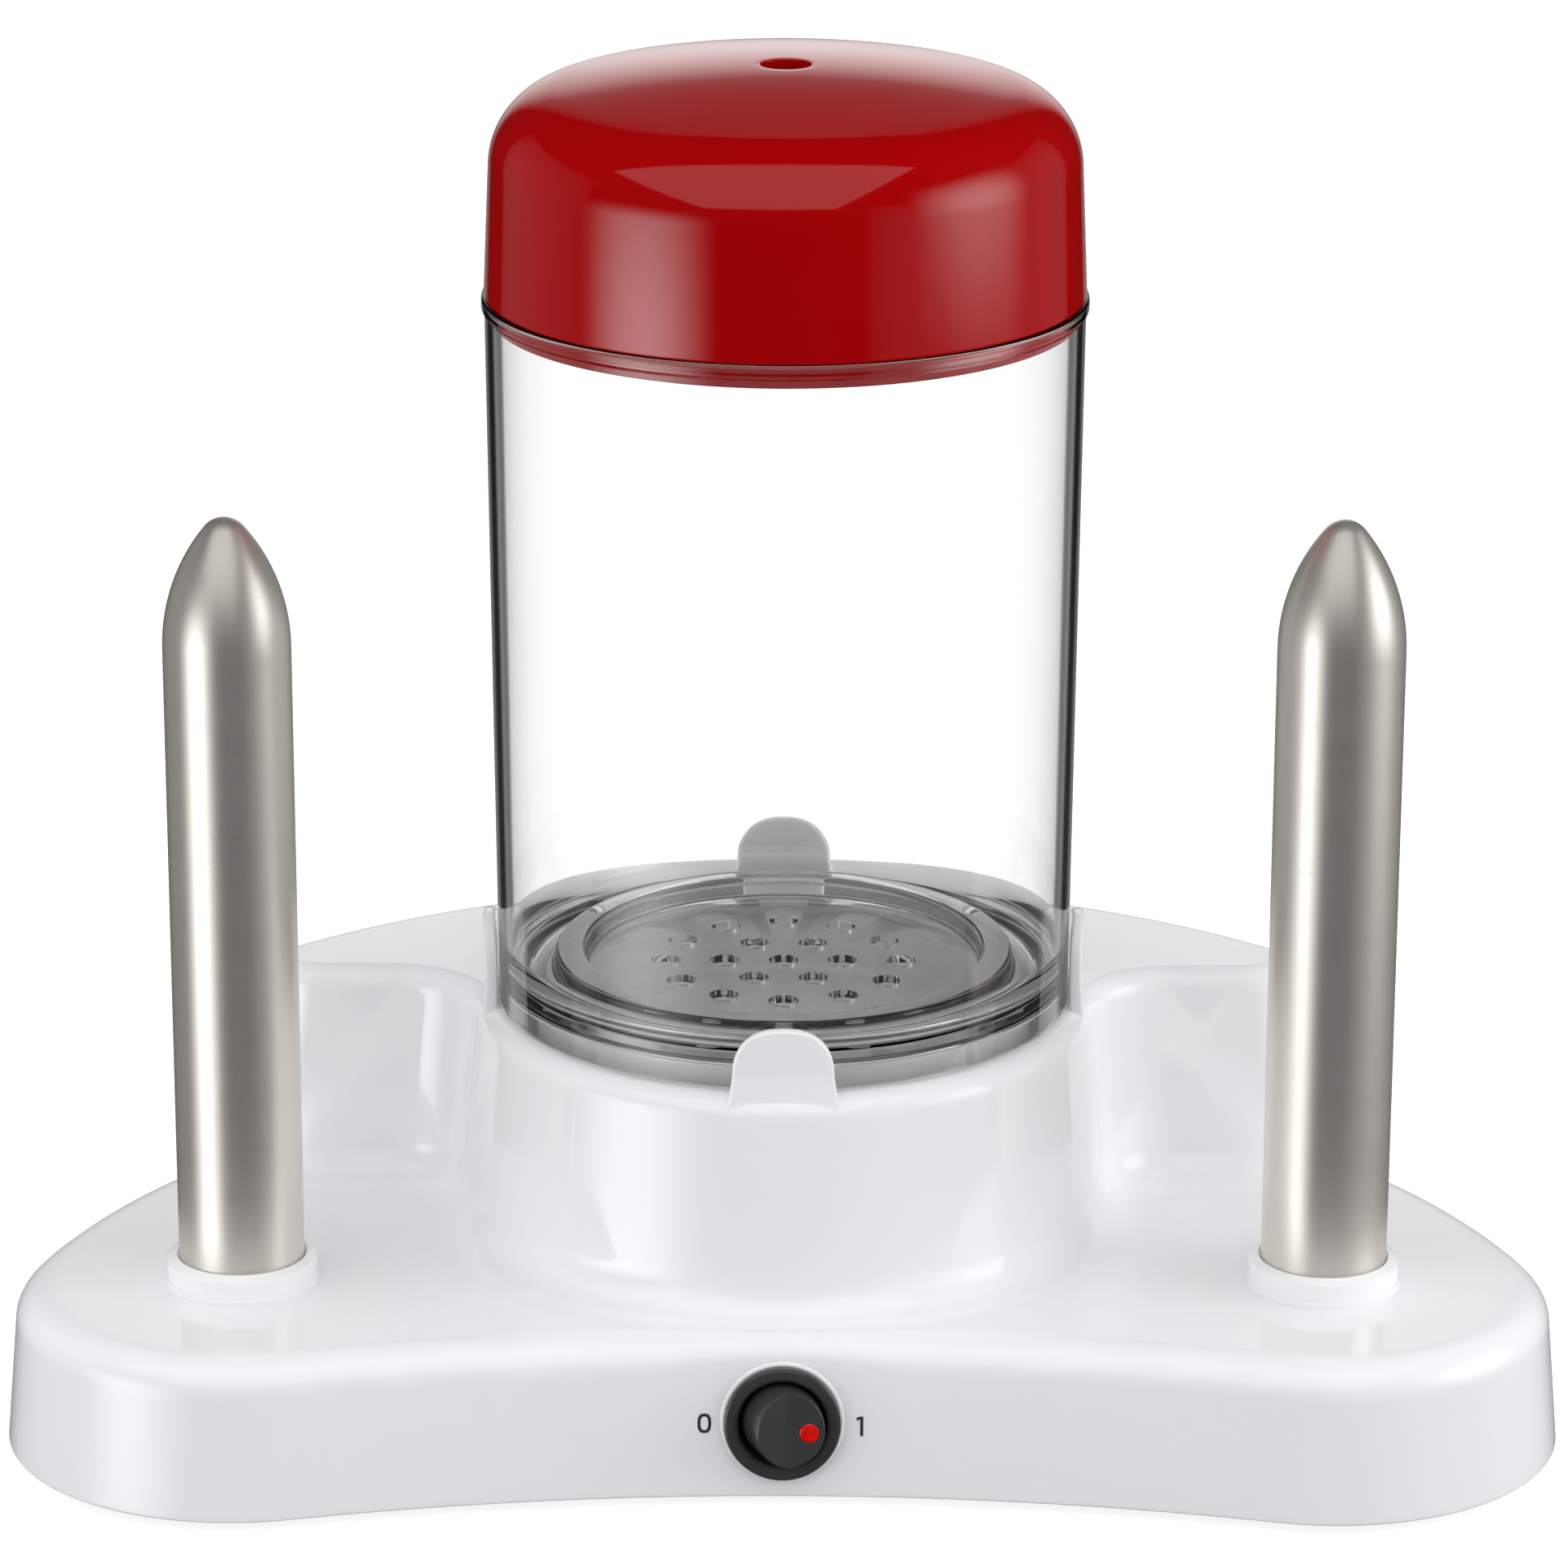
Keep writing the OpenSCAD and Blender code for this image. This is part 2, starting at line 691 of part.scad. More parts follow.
// Side of the tip, drawn in by t: a long arc that leaves the tube straight and runs into a round nose
spike_r = spike_d / 2;
tip_z = spike_top - spike_tip_h;
nose_rise = spike_tip_h - spike_nose_r;
tip_r = (spike_r ^ 2 + nose_rise ^ 2 - spike_nose_r ^ 2) / (2 * (spike_r - spike_nose_r));
nose_angle = atan2(nose_rise, tip_r - spike_r);
function tip_side(t) = concat(
    [for (i = [0:arc_steps])
        let (q = nose_angle * i / arc_steps)
        [spike_r - tip_r + (tip_r - t) * cos(q), tip_z + (tip_r - t) * sin(q)]],
    [for (i = [1:arc_steps])
        let (q = nose_angle + (90 - nose_angle) * i / arc_steps)
        [i == arc_steps ? 0 : (spike_nose_r - t) * cos(q),
            spike_top - spike_nose_r + (spike_nose_r - t) * sin(q)]]
);

module spike(side) {
    inside = tip_side(spike_wall);
    inner_r = spike_r - spike_wall;
    color("lightgray")
    at_spike(side)
        rotate_extrude()
            polygon(concat(
                [[inner_r, flange_bottom], [spike_r, flange_bottom]],
                tip_side(0),
                [for (i = [len(inside) - 1:-1:0]) inside[i]]
            ));
}

// Ring welded round the spike's lower end, which the clamp presses against the deck
module spike_flange(side) {
    color("lightgray")
    at_spike(side)
        ring(flange_r, spike_r + pin_fit, flange_bottom, deck_under);
}

module spike_collar(side) {
    bore_r = spike_d / 2 + pin_fit;
    outer_r = spike_d / 2 + collar_wall;
    edge = 0.8;
    color("white")
    at_spike(side)
        rotate_extrude()
            polygon([
                [bore_r, deck_under], [outer_r - slip_fit, deck_under], [outer_r - slip_fit, deck_h],
                [outer_r + collar_step_w, deck_h], [outer_r + collar_step_w, deck_h + collar_step_h],
                [outer_r, deck_h + collar_step_h], [outer_r, collar_top - edge],
                [outer_r - edge, collar_top], [bore_r, collar_top]
            ]);
}

rod_r = spike_r - spike_wall - rod_gap;
module spike_heater(side) {
    rod_flange_w = 3;
    rod_flange_r = rod_r + rod_flange_w;
    rod_edge = 1;
    rod_top = tip_z - rod_short;
    bottom = clamp_top - plate_t;
    color("dimgray")
    at_spike(side)
        rotate_extrude()
            polygon([
                [0, bottom - plate_t], [rod_flange_r, bottom - plate_t], [rod_flange_r, bottom],
                [rod_r, bottom], [rod_r, rod_top - rod_edge], [rod_r - rod_edge, rod_top], [0, rod_top]
            ]);
}

module spike_clamp(side) {
    clamp_w = 22;
    ring_r = spike_d / 2 + spike_wall;
    color("silver")
    at_spike(side)
        difference() {
            union() {
                translate([-clamp_span, -clamp_w / 2, clamp_top - plate_t])
                    cube([2 * clamp_span, clamp_w, plate_t]);
                for (end = sides)
                    translate([end * clamp_span, 0, 0])
                        disc(clamp_w / 2, clamp_top - plate_t, clamp_top);
                disc(ring_r, clamp_top - plate_t / 2, flange_bottom);
            }
            disc(ring_r - 2 * spike_wall, clamp_top, flange_bottom + over);
            disc(rod_r + pin_fit, clamp_top - plate_t - over, clamp_top + over);
            for (end = sides)
                translate([end * clamp_span, 0, 0])
                    disc(hole_r, clamp_top - plate_t - over, clamp_top + over);
        }
}

module clamp_screws() {
    color("silver")
    for (side = sides, end = sides)
        at_spike(side)
            translate([end * clamp_span, 0, 0])
                screw(clamp_top - plate_t, plate_t + clamp_drop);
}

// Switch
pivot_z = -1.2; // height of the rocker's pivot over the pad
cavity_r = barrel_d / 2 - barrel_wall;
rocker_r = cavity_r - rocker_gap;
cavity_floor = -6;
pivot_r = 1.2;
pivot_skin = 0.4; // left of the barrel's wall outside each end of the pivot
pivot_end = barrel_d / 2 - pivot_skin;

module switch_body() {
    edge = 0.6;
    color("#1c1c1e")
    at_switch()
        difference() {
            union() {
                disc(bezel_r, 0, bezel_h - edge);
                translate([0, 0, bezel_h - edge])
                    cylinder(r1 = bezel_r, r2 = bezel_r - edge, h = edge);
                disc(barrel_d / 2, -barrel_len, bezel_h / 2);
            }
            disc(cavity_r, cavity_floor, bezel_h + over);
            translate([0, 0, bezel_h - bezel_mouth])
                cylinder(r1 = cavity_r, r2 = cavity_r + 2 * bezel_mouth, h = 2 * bezel_mouth);
            translate([0, 0, pivot_z])
                rotate([90, 0, 0])
                    cylinder(r = pivot_r + pin_fit, h = 2 * (pivot_end + pin_fit), center = true, $fn = 32);
        }
}

// Frame of the rocker as it stands when switched on: tipped to the right about its pivot
module at_rocker() {
    at_switch()
        translate([0, 0, pivot_z])
            rotate([0, rocker_tilt, 0])
                children();
}

lens_spot = [3.8, -0.6]; // of the lamp window, from the middle of the rocker's valley
lens_depth = 1.2;
// Frame of the right half of the rocker's face
module on_rocker_face() {
    translate([0, 0, rocker_h])
        rotate([0, -rocker_tilt, 0])
            translate(lens_spot)
                children();
}

// Its sides lean in above and below the pivot, and its face is two slopes that meet in a valley
module switch_rocker() {
    back_z = 2.4;
    span = 4 * rocker_r; // longer than the rocker is high or wide
    color("#232326")
    at_rocker()
        difference() {
            union() {
                difference() {
                    intersection() {
                        rotate([0, rocker_lean, 0])
                            cylinder(r = rocker_r, h = span, center = true);
                        rotate([0, -rocker_lean, 0])
                            cylinder(r = rocker_r, h = span, center = true);
                    }
                    translate([-span / 2, -span / 2, -back_z - span])
                        cube(span);
                    for (side = sides)
                        translate([0, 0, rocker_h])
                            rotate([0, -side * rocker_tilt, 0])
                                translate([side > 0 ? 0 : -span, -span / 2, 0])
                                    cube(span);
                }
                rotate([90, 0, 0])
                    cylinder(r = pivot_r, h = 2 * pivot_end, center = true, $fn = 32);
            }
            on_rocker_face()
                disc(lens_r + pin_fit, -lens_depth, over);
        }
}

module switch_lamp_lens() {
    lens_rise = 0.3;
    color("red")
    at_rocker()
        on_rocker_face() {
            disc(lens_r, -lens_depth, 0);
            cylinder(r1 = lens_r, r2 = lens_r - lens_rise, h = lens_rise);
        }
}

blade_spots = [-6, 0, 6];
module switch_terminals() {
    color("goldenrod")
    at_switch()
        for (x = blade_spots)
            translate([x - blade_t / 2, -blade_w / 2, -barrel_len - blade_len])
                cube([blade_t, blade_w, blade_len]);
}

// Wiring
block_size = [36, 16, 12];
block_y = 45;
terminal_spots = [-12, 0, 12];
module terminal_block() {
    color("ivory")
    difference() {
        translate([-block_size.x / 2, block_y - block_size.y / 2, cover_top])
            cube(block_size);
        for (x = terminal_spots)
            translate([x, block_y, 0])
                disc(hole_r, cover_top + block_size.z / 2, cover_top + block_size.z + over);
    }
}

module terminal_screws() {
    color("goldenrod")
    for (x = terminal_spots)
        translate([x, block_y, 0]) {
            disc(shank_r, cover_top + block_size.z / 2, cover_top + block_size.z + over);
            disc(head_r - shank_r / 2, cover_top + block_size.z, cover_top + block_size.z + head_t);
        }
}

gland_len = 9;
gland_rise = 0.5;
module cord_gland() {
    color("#1c1c1e")
    at_gland()
        difference() {
            union() {
                disc(gland_r, -gland_len, 0);
                disc(gland_r + gland_flange_w, -gland_face, gland_rise);
            }
            disc(cord_hole_d / 2, -gland_len - over, gland_rise + over);
        }
}

// A lead swept through points: an eight-sided ring at each, square to the way it runs there
lead_sides = 8;
function lead_way(points, i) =
    let (
        ahead = i < len(points) - 1 ? unit(points[i + 1] - points[i]) : [0, 0, 0],
        behind = i > 0 ? unit(points[i] - points[i - 1]) : [0, 0, 0]
    )
    unit(ahead + behind);
// Direction of a ring's first corner, carried along the lead without twist
function lead_corner(points, i) =
    let (way = lead_way(points, i), before = i == 0 ? [1, 1, 1] : lead_corner(points, i - 1))
    unit(before - way * (way * before));
function lead_ring(points, i) =
    let (u = lead_corner(points, i), v = cross(lead_way(points, i), u))
    [for (k = [0:lead_sides - 1])
        let (q = 360 * k / lead_sides)
        points[i] + lead_d / 2 * (cos(q) * u + sin(q) * v)];
module lead(points) {
    last = len(points) - 1;
    rings = [for (i = [0:last]) lead_ring(points, i)];
    skin([for (k = [0:lead_sides - 1]) [for (r = rings) r[k]]], points[0], points[last]);
}

block_mid = cover_top + block_size.z / 2;
block_front = block_y - block_size.y / 2;
block_side = block_size.x / 2;
outer_terminal = terminal_spots[2];
outer_blade = blade_spots[2];
lead_z = 9; // height at which the leads run across the floor
lead_stub = 5; // straight run out of each terminal
rod_bottom = clamp_top - 2 * plate_t;
heater_end = heater_z - heater_drop;
thermostat_end = diffuser_bottom - thermostat_h - blade_len;
// A point on the switch's axis, so far behind the pad
function behind_switch(depth) =
    let (inward = depth - pad_rise)
    [0, front_wall_y(switch_h) + inward * cos(base_draft), switch_h - inward * sin(base_draft)];
blade_end = behind_switch(barrel_len + blade_len);
blade_stub = behind_switch(barrel_len + blade_len + lead_stub);

module lead_switch() {
    color("saddlebrown")
    lead([
        [-outer_terminal, block_front, block_mid], [-outer_terminal, block_front - lead_stub, block_mid],
        [-12, 10, lead_z], [-9, -30, lead_z],
        blade_stub + [-outer_blade, 0, 0], blade_end + [-outer_blade, 0, 0]
    ]);
}

module lead_thermostat() {
    color("saddlebrown")
    lead([
        blade_end + [outer_blade, 0, 0], blade_stub + [outer_blade, 0, 0],
        [thermostat_blade_x, thermostat_y - 10, 28],
        [thermostat_blade_x, thermostat_y, thermostat_end - lead_stub],
        [thermostat_blade_x, thermostat_y, thermostat_end]
    ]);
}

module lead_ring_heater() {
    tail = heater_ring_r * [sin(heater_gap / 2), cos(heater_gap / 2)];
    color("steelblue")
    lead([
        [outer_terminal, block_front, block_mid], [outer_terminal, block_front - lead_stub, block_mid],
        [tail.x, tail.y, 24], [tail.x, tail.y, heater_end - lead_stub], [tail.x, tail.y, heater_end]
    ]);
}

module lead_to_spike(side) {
    color("steelblue")
    lead([
        [side * block_side, block_y, block_mid], [side * (block_side + lead_stub), block_y, block_mid],
        [side * 40, 25, lead_z], [side * (spike_x - 20), -spike_setback + 20, lead_z],
        [side * spike_x, -spike_setback, lead_z + lead_stub], [side * spike_x, -spike_setback, rod_bottom]
    ]);
}

// Jar
module jar() {
    top = jar_h;
    floor_t = jar_wall;
    lean = (jar_rim_r - bead_out - jar_foot_r) / jar_h;
    function outer(z) = jar_foot_r + lean * z;
    under = jar_floor_h - floor_t;
    ring_in = ring_outer_r - ring_w;
    edge = 0.5;
    corner_x = outer(jar_floor_h) - jar_wall - jar_corner_r;
    corner = [for (i = [0:arc_steps])
        let (q = -90 * i / arc_steps)
        [corner_x, jar_floor_h + jar_corner_r] + jar_corner_r * [cos(q), sin(q)]];
    steam_rings = [0, 1, 2];
    steam_holes = 6; // in the inner ring
    steam_pitch = 12; // between one ring of holes and the next
    color([0.85, 0.9, 0.92, 0.35])
    translate([0, 0, jar_z])
        difference() {
            rotate_extrude()
                polygon(concat(
                    [
                        [outer(0) - jar_wall, 0], [outer(0) - edge, 0], [outer(edge), edge],
                        [outer(top - bead_h), top - bead_h], [jar_rim_r, top - bead_h + bead_out],
                        [jar_rim_r, top - edge], [jar_rim_r - edge, top], [outer(top) - jar_wall, top]
                    ],
                    corner,
                    [
                        [ring_outer_r, jar_floor_h], [ring_outer_r - edge, jar_floor_h + ring_rise],
                        [ring_in + edge, jar_floor_h + ring_rise], [ring_in, jar_floor_h], [0, jar_floor_h],
                        [0, under], [outer(under) - jar_wall, under]
                    ]
                ));
            for (r = steam_rings, turn = [0:360 / max(1, r * steam_holes):359])
                rotate(turn)
                    translate([r * steam_pitch, 0, 0])
                        disc(steam_hole_d / 2, under - over, jar_floor_h + over);
        }
}

// Lid: straight leaning side, round shoulder and shallow dome, each tangent to the next
module lid() {
    bottom_r = jar_rim_r - lid_inset;
    dome_z = lid_h - lid_dome_r;
    reach_r = bottom_r - lid_shoulder_r / cos(lid_draft);
    slope = tan(lid_draft);
    qa = 1 + slope ^ 2;
    qb = -2 * (reach_r * slope + dome_z);
    qc = reach_r ^ 2 + dome_z ^ 2 - (lid_dome_r - lid_shoulder_r) ^ 2;
    shoulder_z = (-qb + sqrt(qb ^ 2 - 4 * qa * qc)) / (2 * qa);
    shoulder = [reach_r - slope * shoulder_z, shoulder_z];
    dome_angle = atan2(shoulder.y - dome_z, shoulder.x);
    vent_r = vent_d / 2;
    vent_angle = acos(vent_r / lid_dome_r);
    // One skin of the lid, drawn in by t, from its lower edge to the vent
    function lid_side(t) = concat(
        [[bottom_r - t / cos(lid_draft), 0]],
        [for (i = [0:arc_steps])
            let (q = lid_draft + (dome_angle - lid_draft) * i / arc_steps)
            shoulder + (lid_shoulder_r - t) * [cos(q), sin(q)]],
        [for (i = [1:arc_steps])
            let (q = dome_angle + (vent_angle - dome_angle) * i / arc_steps)
            [i == arc_steps ? vent_r : (lid_dome_r - t) * cos(q), dome_z + (lid_dome_r - t) * sin(q)]]
    );
    inside = lid_side(lid_wall);
    skirt_r = jar_rim_r - bead_out - jar_wall - lid_skirt_gap;
    skirt_in = skirt_r - lid_wall;
    web_r = inside[0].x - lid_wall * slope;
    color("#b3121d")
    translate([0, 0, lid_z])
        rotate_extrude()
            polygon(concat(
                lid_side(0),
                [for (i = [len(inside) - 1:-1:1]) inside[i]],
                [[web_r, lid_wall], [skirt_in, lid_wall], [skirt_in, -lid_skirt_h]],
                [[skirt_r, -lid_skirt_h], [skirt_r, 0]]
            ));
}

centred() base_housing();
centred() bottom_cover();
centred() rubber_feet();
centred() cover_screws();
centred() boiler_dish();
centred() boiler_gasket();
centred() diffuser_plate();
centred() ring_heater();
centred() heater_strap();
centred() strap_screws();
centred() thermostat();
centred() thermal_fuse();
centred() spike(-1);  // left_spike
centred() spike(1);  // right_spike
centred() spike_flange(-1);  // left_spike_flange
centred() spike_flange(1);  // right_spike_flange
centred() spike_collar(-1);  // left_spike_collar
centred() spike_collar(1);  // right_spike_collar
centred() spike_heater(-1);  // left_spike_heater
centred() spike_heater(1);  // right_spike_heater
centred() spike_clamp(-1);  // left_spike_clamp
centred() spike_clamp(1);  // right_spike_clamp
centred() clamp_screws();
centred() switch_body();
centred() switch_rocker();
centred() switch_lamp_lens();
centred() switch_terminals();
centred() terminal_block();
centred() terminal_screws();
centred() cord_gland();
centred() lead_switch();
centred() lead_thermostat();
centred() lead_ring_heater();  // lead_ring
centred() lead_to_spike(-1);  // lead_left
centred() lead_to_spike(1);  // lead_right
centred() jar();
centred() lid();
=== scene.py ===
# %% [markdown]
# # A hot dog spike machine in a white studio
# The frame brings in every piece of the machine at its real size and place. Those meshes are exact, but
# the big white shell is made of flat facets, and nothing has a finish yet. Piece by piece, this lesson
# models what shows as smooth meshes, gives every surface a material made of nodes, and lights the whole
# like a product picture.

# %% Load the frame
import json
import math

import bmesh
import bpy
from mathutils import Matrix, Vector


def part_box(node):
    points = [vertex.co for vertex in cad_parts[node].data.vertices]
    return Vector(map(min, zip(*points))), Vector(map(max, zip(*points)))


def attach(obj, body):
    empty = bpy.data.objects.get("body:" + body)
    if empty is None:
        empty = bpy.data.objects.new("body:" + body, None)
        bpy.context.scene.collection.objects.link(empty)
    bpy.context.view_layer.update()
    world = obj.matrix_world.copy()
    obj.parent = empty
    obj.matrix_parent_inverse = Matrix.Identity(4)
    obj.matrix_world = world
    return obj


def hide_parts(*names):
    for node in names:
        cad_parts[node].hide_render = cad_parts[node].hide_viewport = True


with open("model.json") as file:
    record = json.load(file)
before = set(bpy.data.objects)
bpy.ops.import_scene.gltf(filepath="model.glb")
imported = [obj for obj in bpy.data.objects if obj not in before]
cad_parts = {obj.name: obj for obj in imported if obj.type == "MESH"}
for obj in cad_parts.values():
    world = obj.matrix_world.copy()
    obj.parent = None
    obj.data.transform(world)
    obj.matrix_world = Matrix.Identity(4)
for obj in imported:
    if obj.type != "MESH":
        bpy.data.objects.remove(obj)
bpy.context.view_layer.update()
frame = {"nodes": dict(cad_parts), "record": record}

mm = 0.001

# %% [markdown]
# ## The camera
# The picture looks down on the machine at about eighteen degrees from more than a metre away, so upright
# lines hardly run together. A long lens gives that calm view. Its length follows from the focal length in
# pixels, which was measured on a square picture, so nothing here depends on the size of the render. The
# small roll is there because the right side of the machine sits a little lower in the picture.

# %% Camera
picture_px = 1932
focal_px = 8000
camera_spot = Vector((0, -1.243, 0.532))
camera_pitch = math.radians(18.1)
camera_roll = math.radians(0.15)

camera_data = bpy.data.cameras.new("camera")
camera_data.sensor_width = 36
camera_data.lens = camera_data.sensor_width * focal_px / picture_px
camera = bpy.data.objects.new("camera", camera_data)
bpy.context.collection.objects.link(camera)
tip_down = Matrix.Rotation(math.pi / 2 - camera_pitch, 4, "X")
camera.matrix_world = Matrix.Translation(camera_spot) @ tip_down @ Matrix.Rotation(camera_roll, 4, "Z")
bpy.context.scene.camera = camera
print("Lens in mm:", round(camera_data.lens, 1))

# %% [markdown]
# ## A kit for nodes
# Materials, lamps and the world are all made of nodes that are linked together, and most of these links
# are simple sums. A few helpers take over what repeats: each makes one node, feeds it sockets or plain
# values, and hands back the socket with the result. A chain of nodes then reads almost like a formula.

# %% Node helpers
def feed(tree, entry, value):
    """Links a socket to an input, or sets the input to a plain value."""
    if isinstance(value, bpy.types.NodeSocket):
        tree.links.new(value, entry)
    else:
        entry.default_value = value


def maths(tree, operation, *values, kind="Math"):
    """The result of a maths node on sockets and plain numbers; the kind can also be VectorMath."""
    sums = tree.nodes.new("ShaderNode" + kind)
    sums.operation = operation
    for entry, value in zip(sums.inputs, values):
        feed(tree, entry, value)
    return sums.outputs[0]


def parts_of(tree, vector):
    """The X, Y and Z sockets of a vector."""
    split = tree.nodes.new("ShaderNodeSeparateXYZ")
    feed(tree, split.inputs[0], vector)
    return split.outputs


def spread(tree, value, start, end, low=0, high=1):
    """Stretches a value so that start becomes low and end becomes high; beyond both it stays there."""
    stretch = tree.nodes.new("ShaderNodeMapRange")
    ends = {"From Min": start, "From Max": end, "To Min": low, "To Max": high}
    for name, number in ends.items():
        feed(tree, stretch.inputs[name], number)
    feed(tree, stretch.inputs["Value"], value)
    return stretch.outputs["Result"]


print("Node helpers ready")

# %% Colour and light helpers
def grey_ramp(tree, value, stops):
    """A grey that follows a value from 0 to 1 through stops of place and brightness."""
    ramp = tree.nodes.new("ShaderNodeValToRGB")
    marks = ramp.color_ramp.elements
    while len(marks) < len(stops):
        marks.new(1)
    for mark, (place, brightness) in zip(marks, stops):
        mark.position = place
        mark.color = (brightness, brightness, brightness, 1)
    feed(tree, ramp.inputs["Fac"], value)
    return ramp.outputs["Color"]


def mixed_colour(tree, share, first, second):
    """A colour between two others, each a socket or a plain colour."""
    mix = tree.nodes.new("ShaderNodeMix")
    mix.data_type = "RGBA"
    entries = [entry for entry in mix.inputs if entry.type == "RGBA"]
    for entry, value in zip([mix.inputs[0]] + entries, (share, first, second)):
        feed(tree, entry, value)
    return next(result for result in mix.outputs if result.type == "RGBA")


def mixed_light(tree, share, first, second):
    """A shader between two others."""
    mix = tree.nodes.new("ShaderNodeMixShader")
    for entry, value in zip(mix.inputs, (share, first, second)):
        feed(tree, entry, value)
    return mix.outputs[0]


print("Colour and light helpers ready")

# %% [markdown]
# ## The white surroundings
# A product picture stands on white, but a glossy object in an all-white room looks flat: its shine needs
# darker places too. The world is therefore plain white for the rays that come from the camera or through
# the clear jar. For mirror-like rays it is a dark room with a weak glow that fades upwards behind the
# machine. The soft light that falls on the pieces is a pale grey that grows towards both sides, where the
# large lamps of a studio stand. Light Path tells these rays apart. Its depths matter for pieces inside
# the jar: a ray that bounced off one of them and leaves through the clear wall still counts as a mirror
# ray or as soft light.

# %% Brightness of the room
soft_light = 0.43
side_light = 1.2
dark_room = 0.01
glow_edge = (0.93, 0.97)
# Each stop of the fade has the height of a ray's direction, from -1 to 1, and the brightness there.
wall_fade = ((0.28, 0.25), (0.34, 0.17), (0.41, 0.13), (0.5, 0.12), (0.69, 0.14), (0.73, 0))


def mirrored_room(tree):
    """Brightness that mirror rays find: a glow behind by the height of the ray, and the dark in front."""
    direction = tree.nodes.new("ShaderNodeTexCoord").outputs["Generated"]
    lowest, highest = wall_fade[0][0], wall_fade[-1][0]
    height = spread(tree, parts_of(tree, direction)["Z"], lowest, highest)
    stops = [((z - lowest) / (highest - lowest), brightness) for z, brightness in wall_fade]
    fade = grey_ramp(tree, height, stops)
    level = maths(tree, "MULTIPLY", direction, (1, 1, 0), kind="VectorMath")
    level_way = maths(tree, "NORMALIZE", level, kind="VectorMath")
    behind = spread(tree, parts_of(tree, level_way)["Y"], *glow_edge)
    glow = maths(tree, "MULTIPLY", fade, behind)
    return maths(tree, "MAXIMUM", glow, dark_room)


def light_from_sides(tree):
    """Brightness of the soft light: it grows with the square of how far a ray goes sideways."""
    direction = tree.nodes.new("ShaderNodeTexCoord").outputs["Generated"]
    sideways = parts_of(tree, direction)["X"]
    square = maths(tree, "MULTIPLY", sideways, sideways)
    return maths(tree, "MULTIPLY_ADD", square, side_light, soft_light)


print("Soft light from the front and from the sides:", soft_light, soft_light + side_light)

# %% World
scene = bpy.context.scene
scene.view_settings.view_transform = "Standard"
studio = bpy.data.worlds.new("studio")
studio.use_nodes = True
scene.world = studio


def not_yet(tree, depth):
    """One as long as a ray has not bounced off anything in the way that the depth counts."""
    half_a_bounce = 0.5
    return maths(tree, "LESS_THAN", depth, half_a_bounce)


def looked_at(tree, path):
    """One for rays that come from the camera, straight or only through clear plastic."""
    no_soft_bounce = not_yet(tree, path["Diffuse Depth"])
    no_mirror_bounce = not_yet(tree, path["Glossy Depth"])
    no_bounce = maths(tree, "MULTIPLY", no_soft_bounce, no_mirror_bounce)
    straight = maths(tree, "MULTIPLY", path["Is Transmission Ray"], no_bounce)
    return maths(tree, "MAXIMUM", path["Is Camera Ray"], straight)


def studio_world(tree):
    """White for camera and clear rays, the room for mirror rays, grey for soft light."""
    tree.nodes.clear()
    path = tree.nodes.new("ShaderNodeLightPath").outputs
    mirror = maths(tree, "MULTIPLY", path["Is Glossy Ray"], not_yet(tree, path["Diffuse Depth"]))
    skies = []
    for brightness in (light_from_sides(tree), mirrored_room(tree), 1):
        sky = tree.nodes.new("ShaderNodeBackground")
        feed(tree, sky.inputs["Color"], (1, 1, 1, 1))
        feed(tree, sky.inputs["Strength"], brightness)
        skies.append(sky.outputs[0])
    soft, mirrored, white = skies
    reached = mixed_light(tree, mirror, soft, mirrored)
    shown = mixed_light(tree, looked_at(tree, path), reached, white)
    feed(tree, tree.nodes.new("ShaderNodeOutputWorld").inputs["Surface"], shown)


studio_world(studio.node_tree)
print("World nodes:", len(studio.node_tree.nodes))

# %% [markdown]
# ## The floor
# The machine stands on a white sheet that melts into the background, with just a trace of shadow under
# it. A plain white diffuse floor would turn grey wherever less light falls. Here the floor adds a little
# light of its own, but only for rays that look at it, so that it reads as white and still keeps the
# shadow. It is hidden from mirror-like rays, because the lid and the black switch would show it as a
# bright plane in front.

# %% Floor
sheet_radius = 3.0
sheet_corners = 96
floor_colour = (0.4, 0.4, 0.4, 1)
floor_glow = 0.84


def floor_finish():
    """Pale and matt, with a glow for the rays that look at it."""
    material = bpy.data.materials.new("white_sheet")
    material.use_nodes = True
    tree = material.node_tree
    tree.nodes.clear()
    path = tree.nodes.new("ShaderNodeLightPath").outputs
    light = tree.nodes.new("ShaderNodeEmission")
    feed(tree, light.inputs["Strength"], maths(tree, "MULTIPLY", looked_at(tree, path), floor_glow))
    sheet = tree.nodes.new("ShaderNodeBsdfDiffuse")
    feed(tree, sheet.inputs["Color"], floor_colour)
    whole = tree.nodes.new("ShaderNodeAddShader")
    feed(tree, whole.inputs[0], light.outputs[0])
    feed(tree, whole.inputs[1], sheet.outputs[0])
    feed(tree, tree.nodes.new("ShaderNodeOutputMaterial").inputs["Surface"], whole.outputs[0])
    return material


def round_floor(name, radius, finish):
    """A round sheet that isn't part of the object."""
    shape = bmesh.new()
    bmesh.ops.create_circle(shape, cap_ends=True, segments=sheet_corners, radius=radius)
    mesh = bpy.data.meshes.new(name)
    shape.to_mesh(mesh)
    shape.free()
    mesh.materials.append(finish)
    floor = bpy.data.objects.new(name, mesh)
    bpy.context.collection.objects.link(floor)
    return floor


wide_floor = round_floor("wide_floor", sheet_radius, floor_finish())
wide_floor.visible_glossy = False
print("Floor across in m:", 2 * sheet_radius)

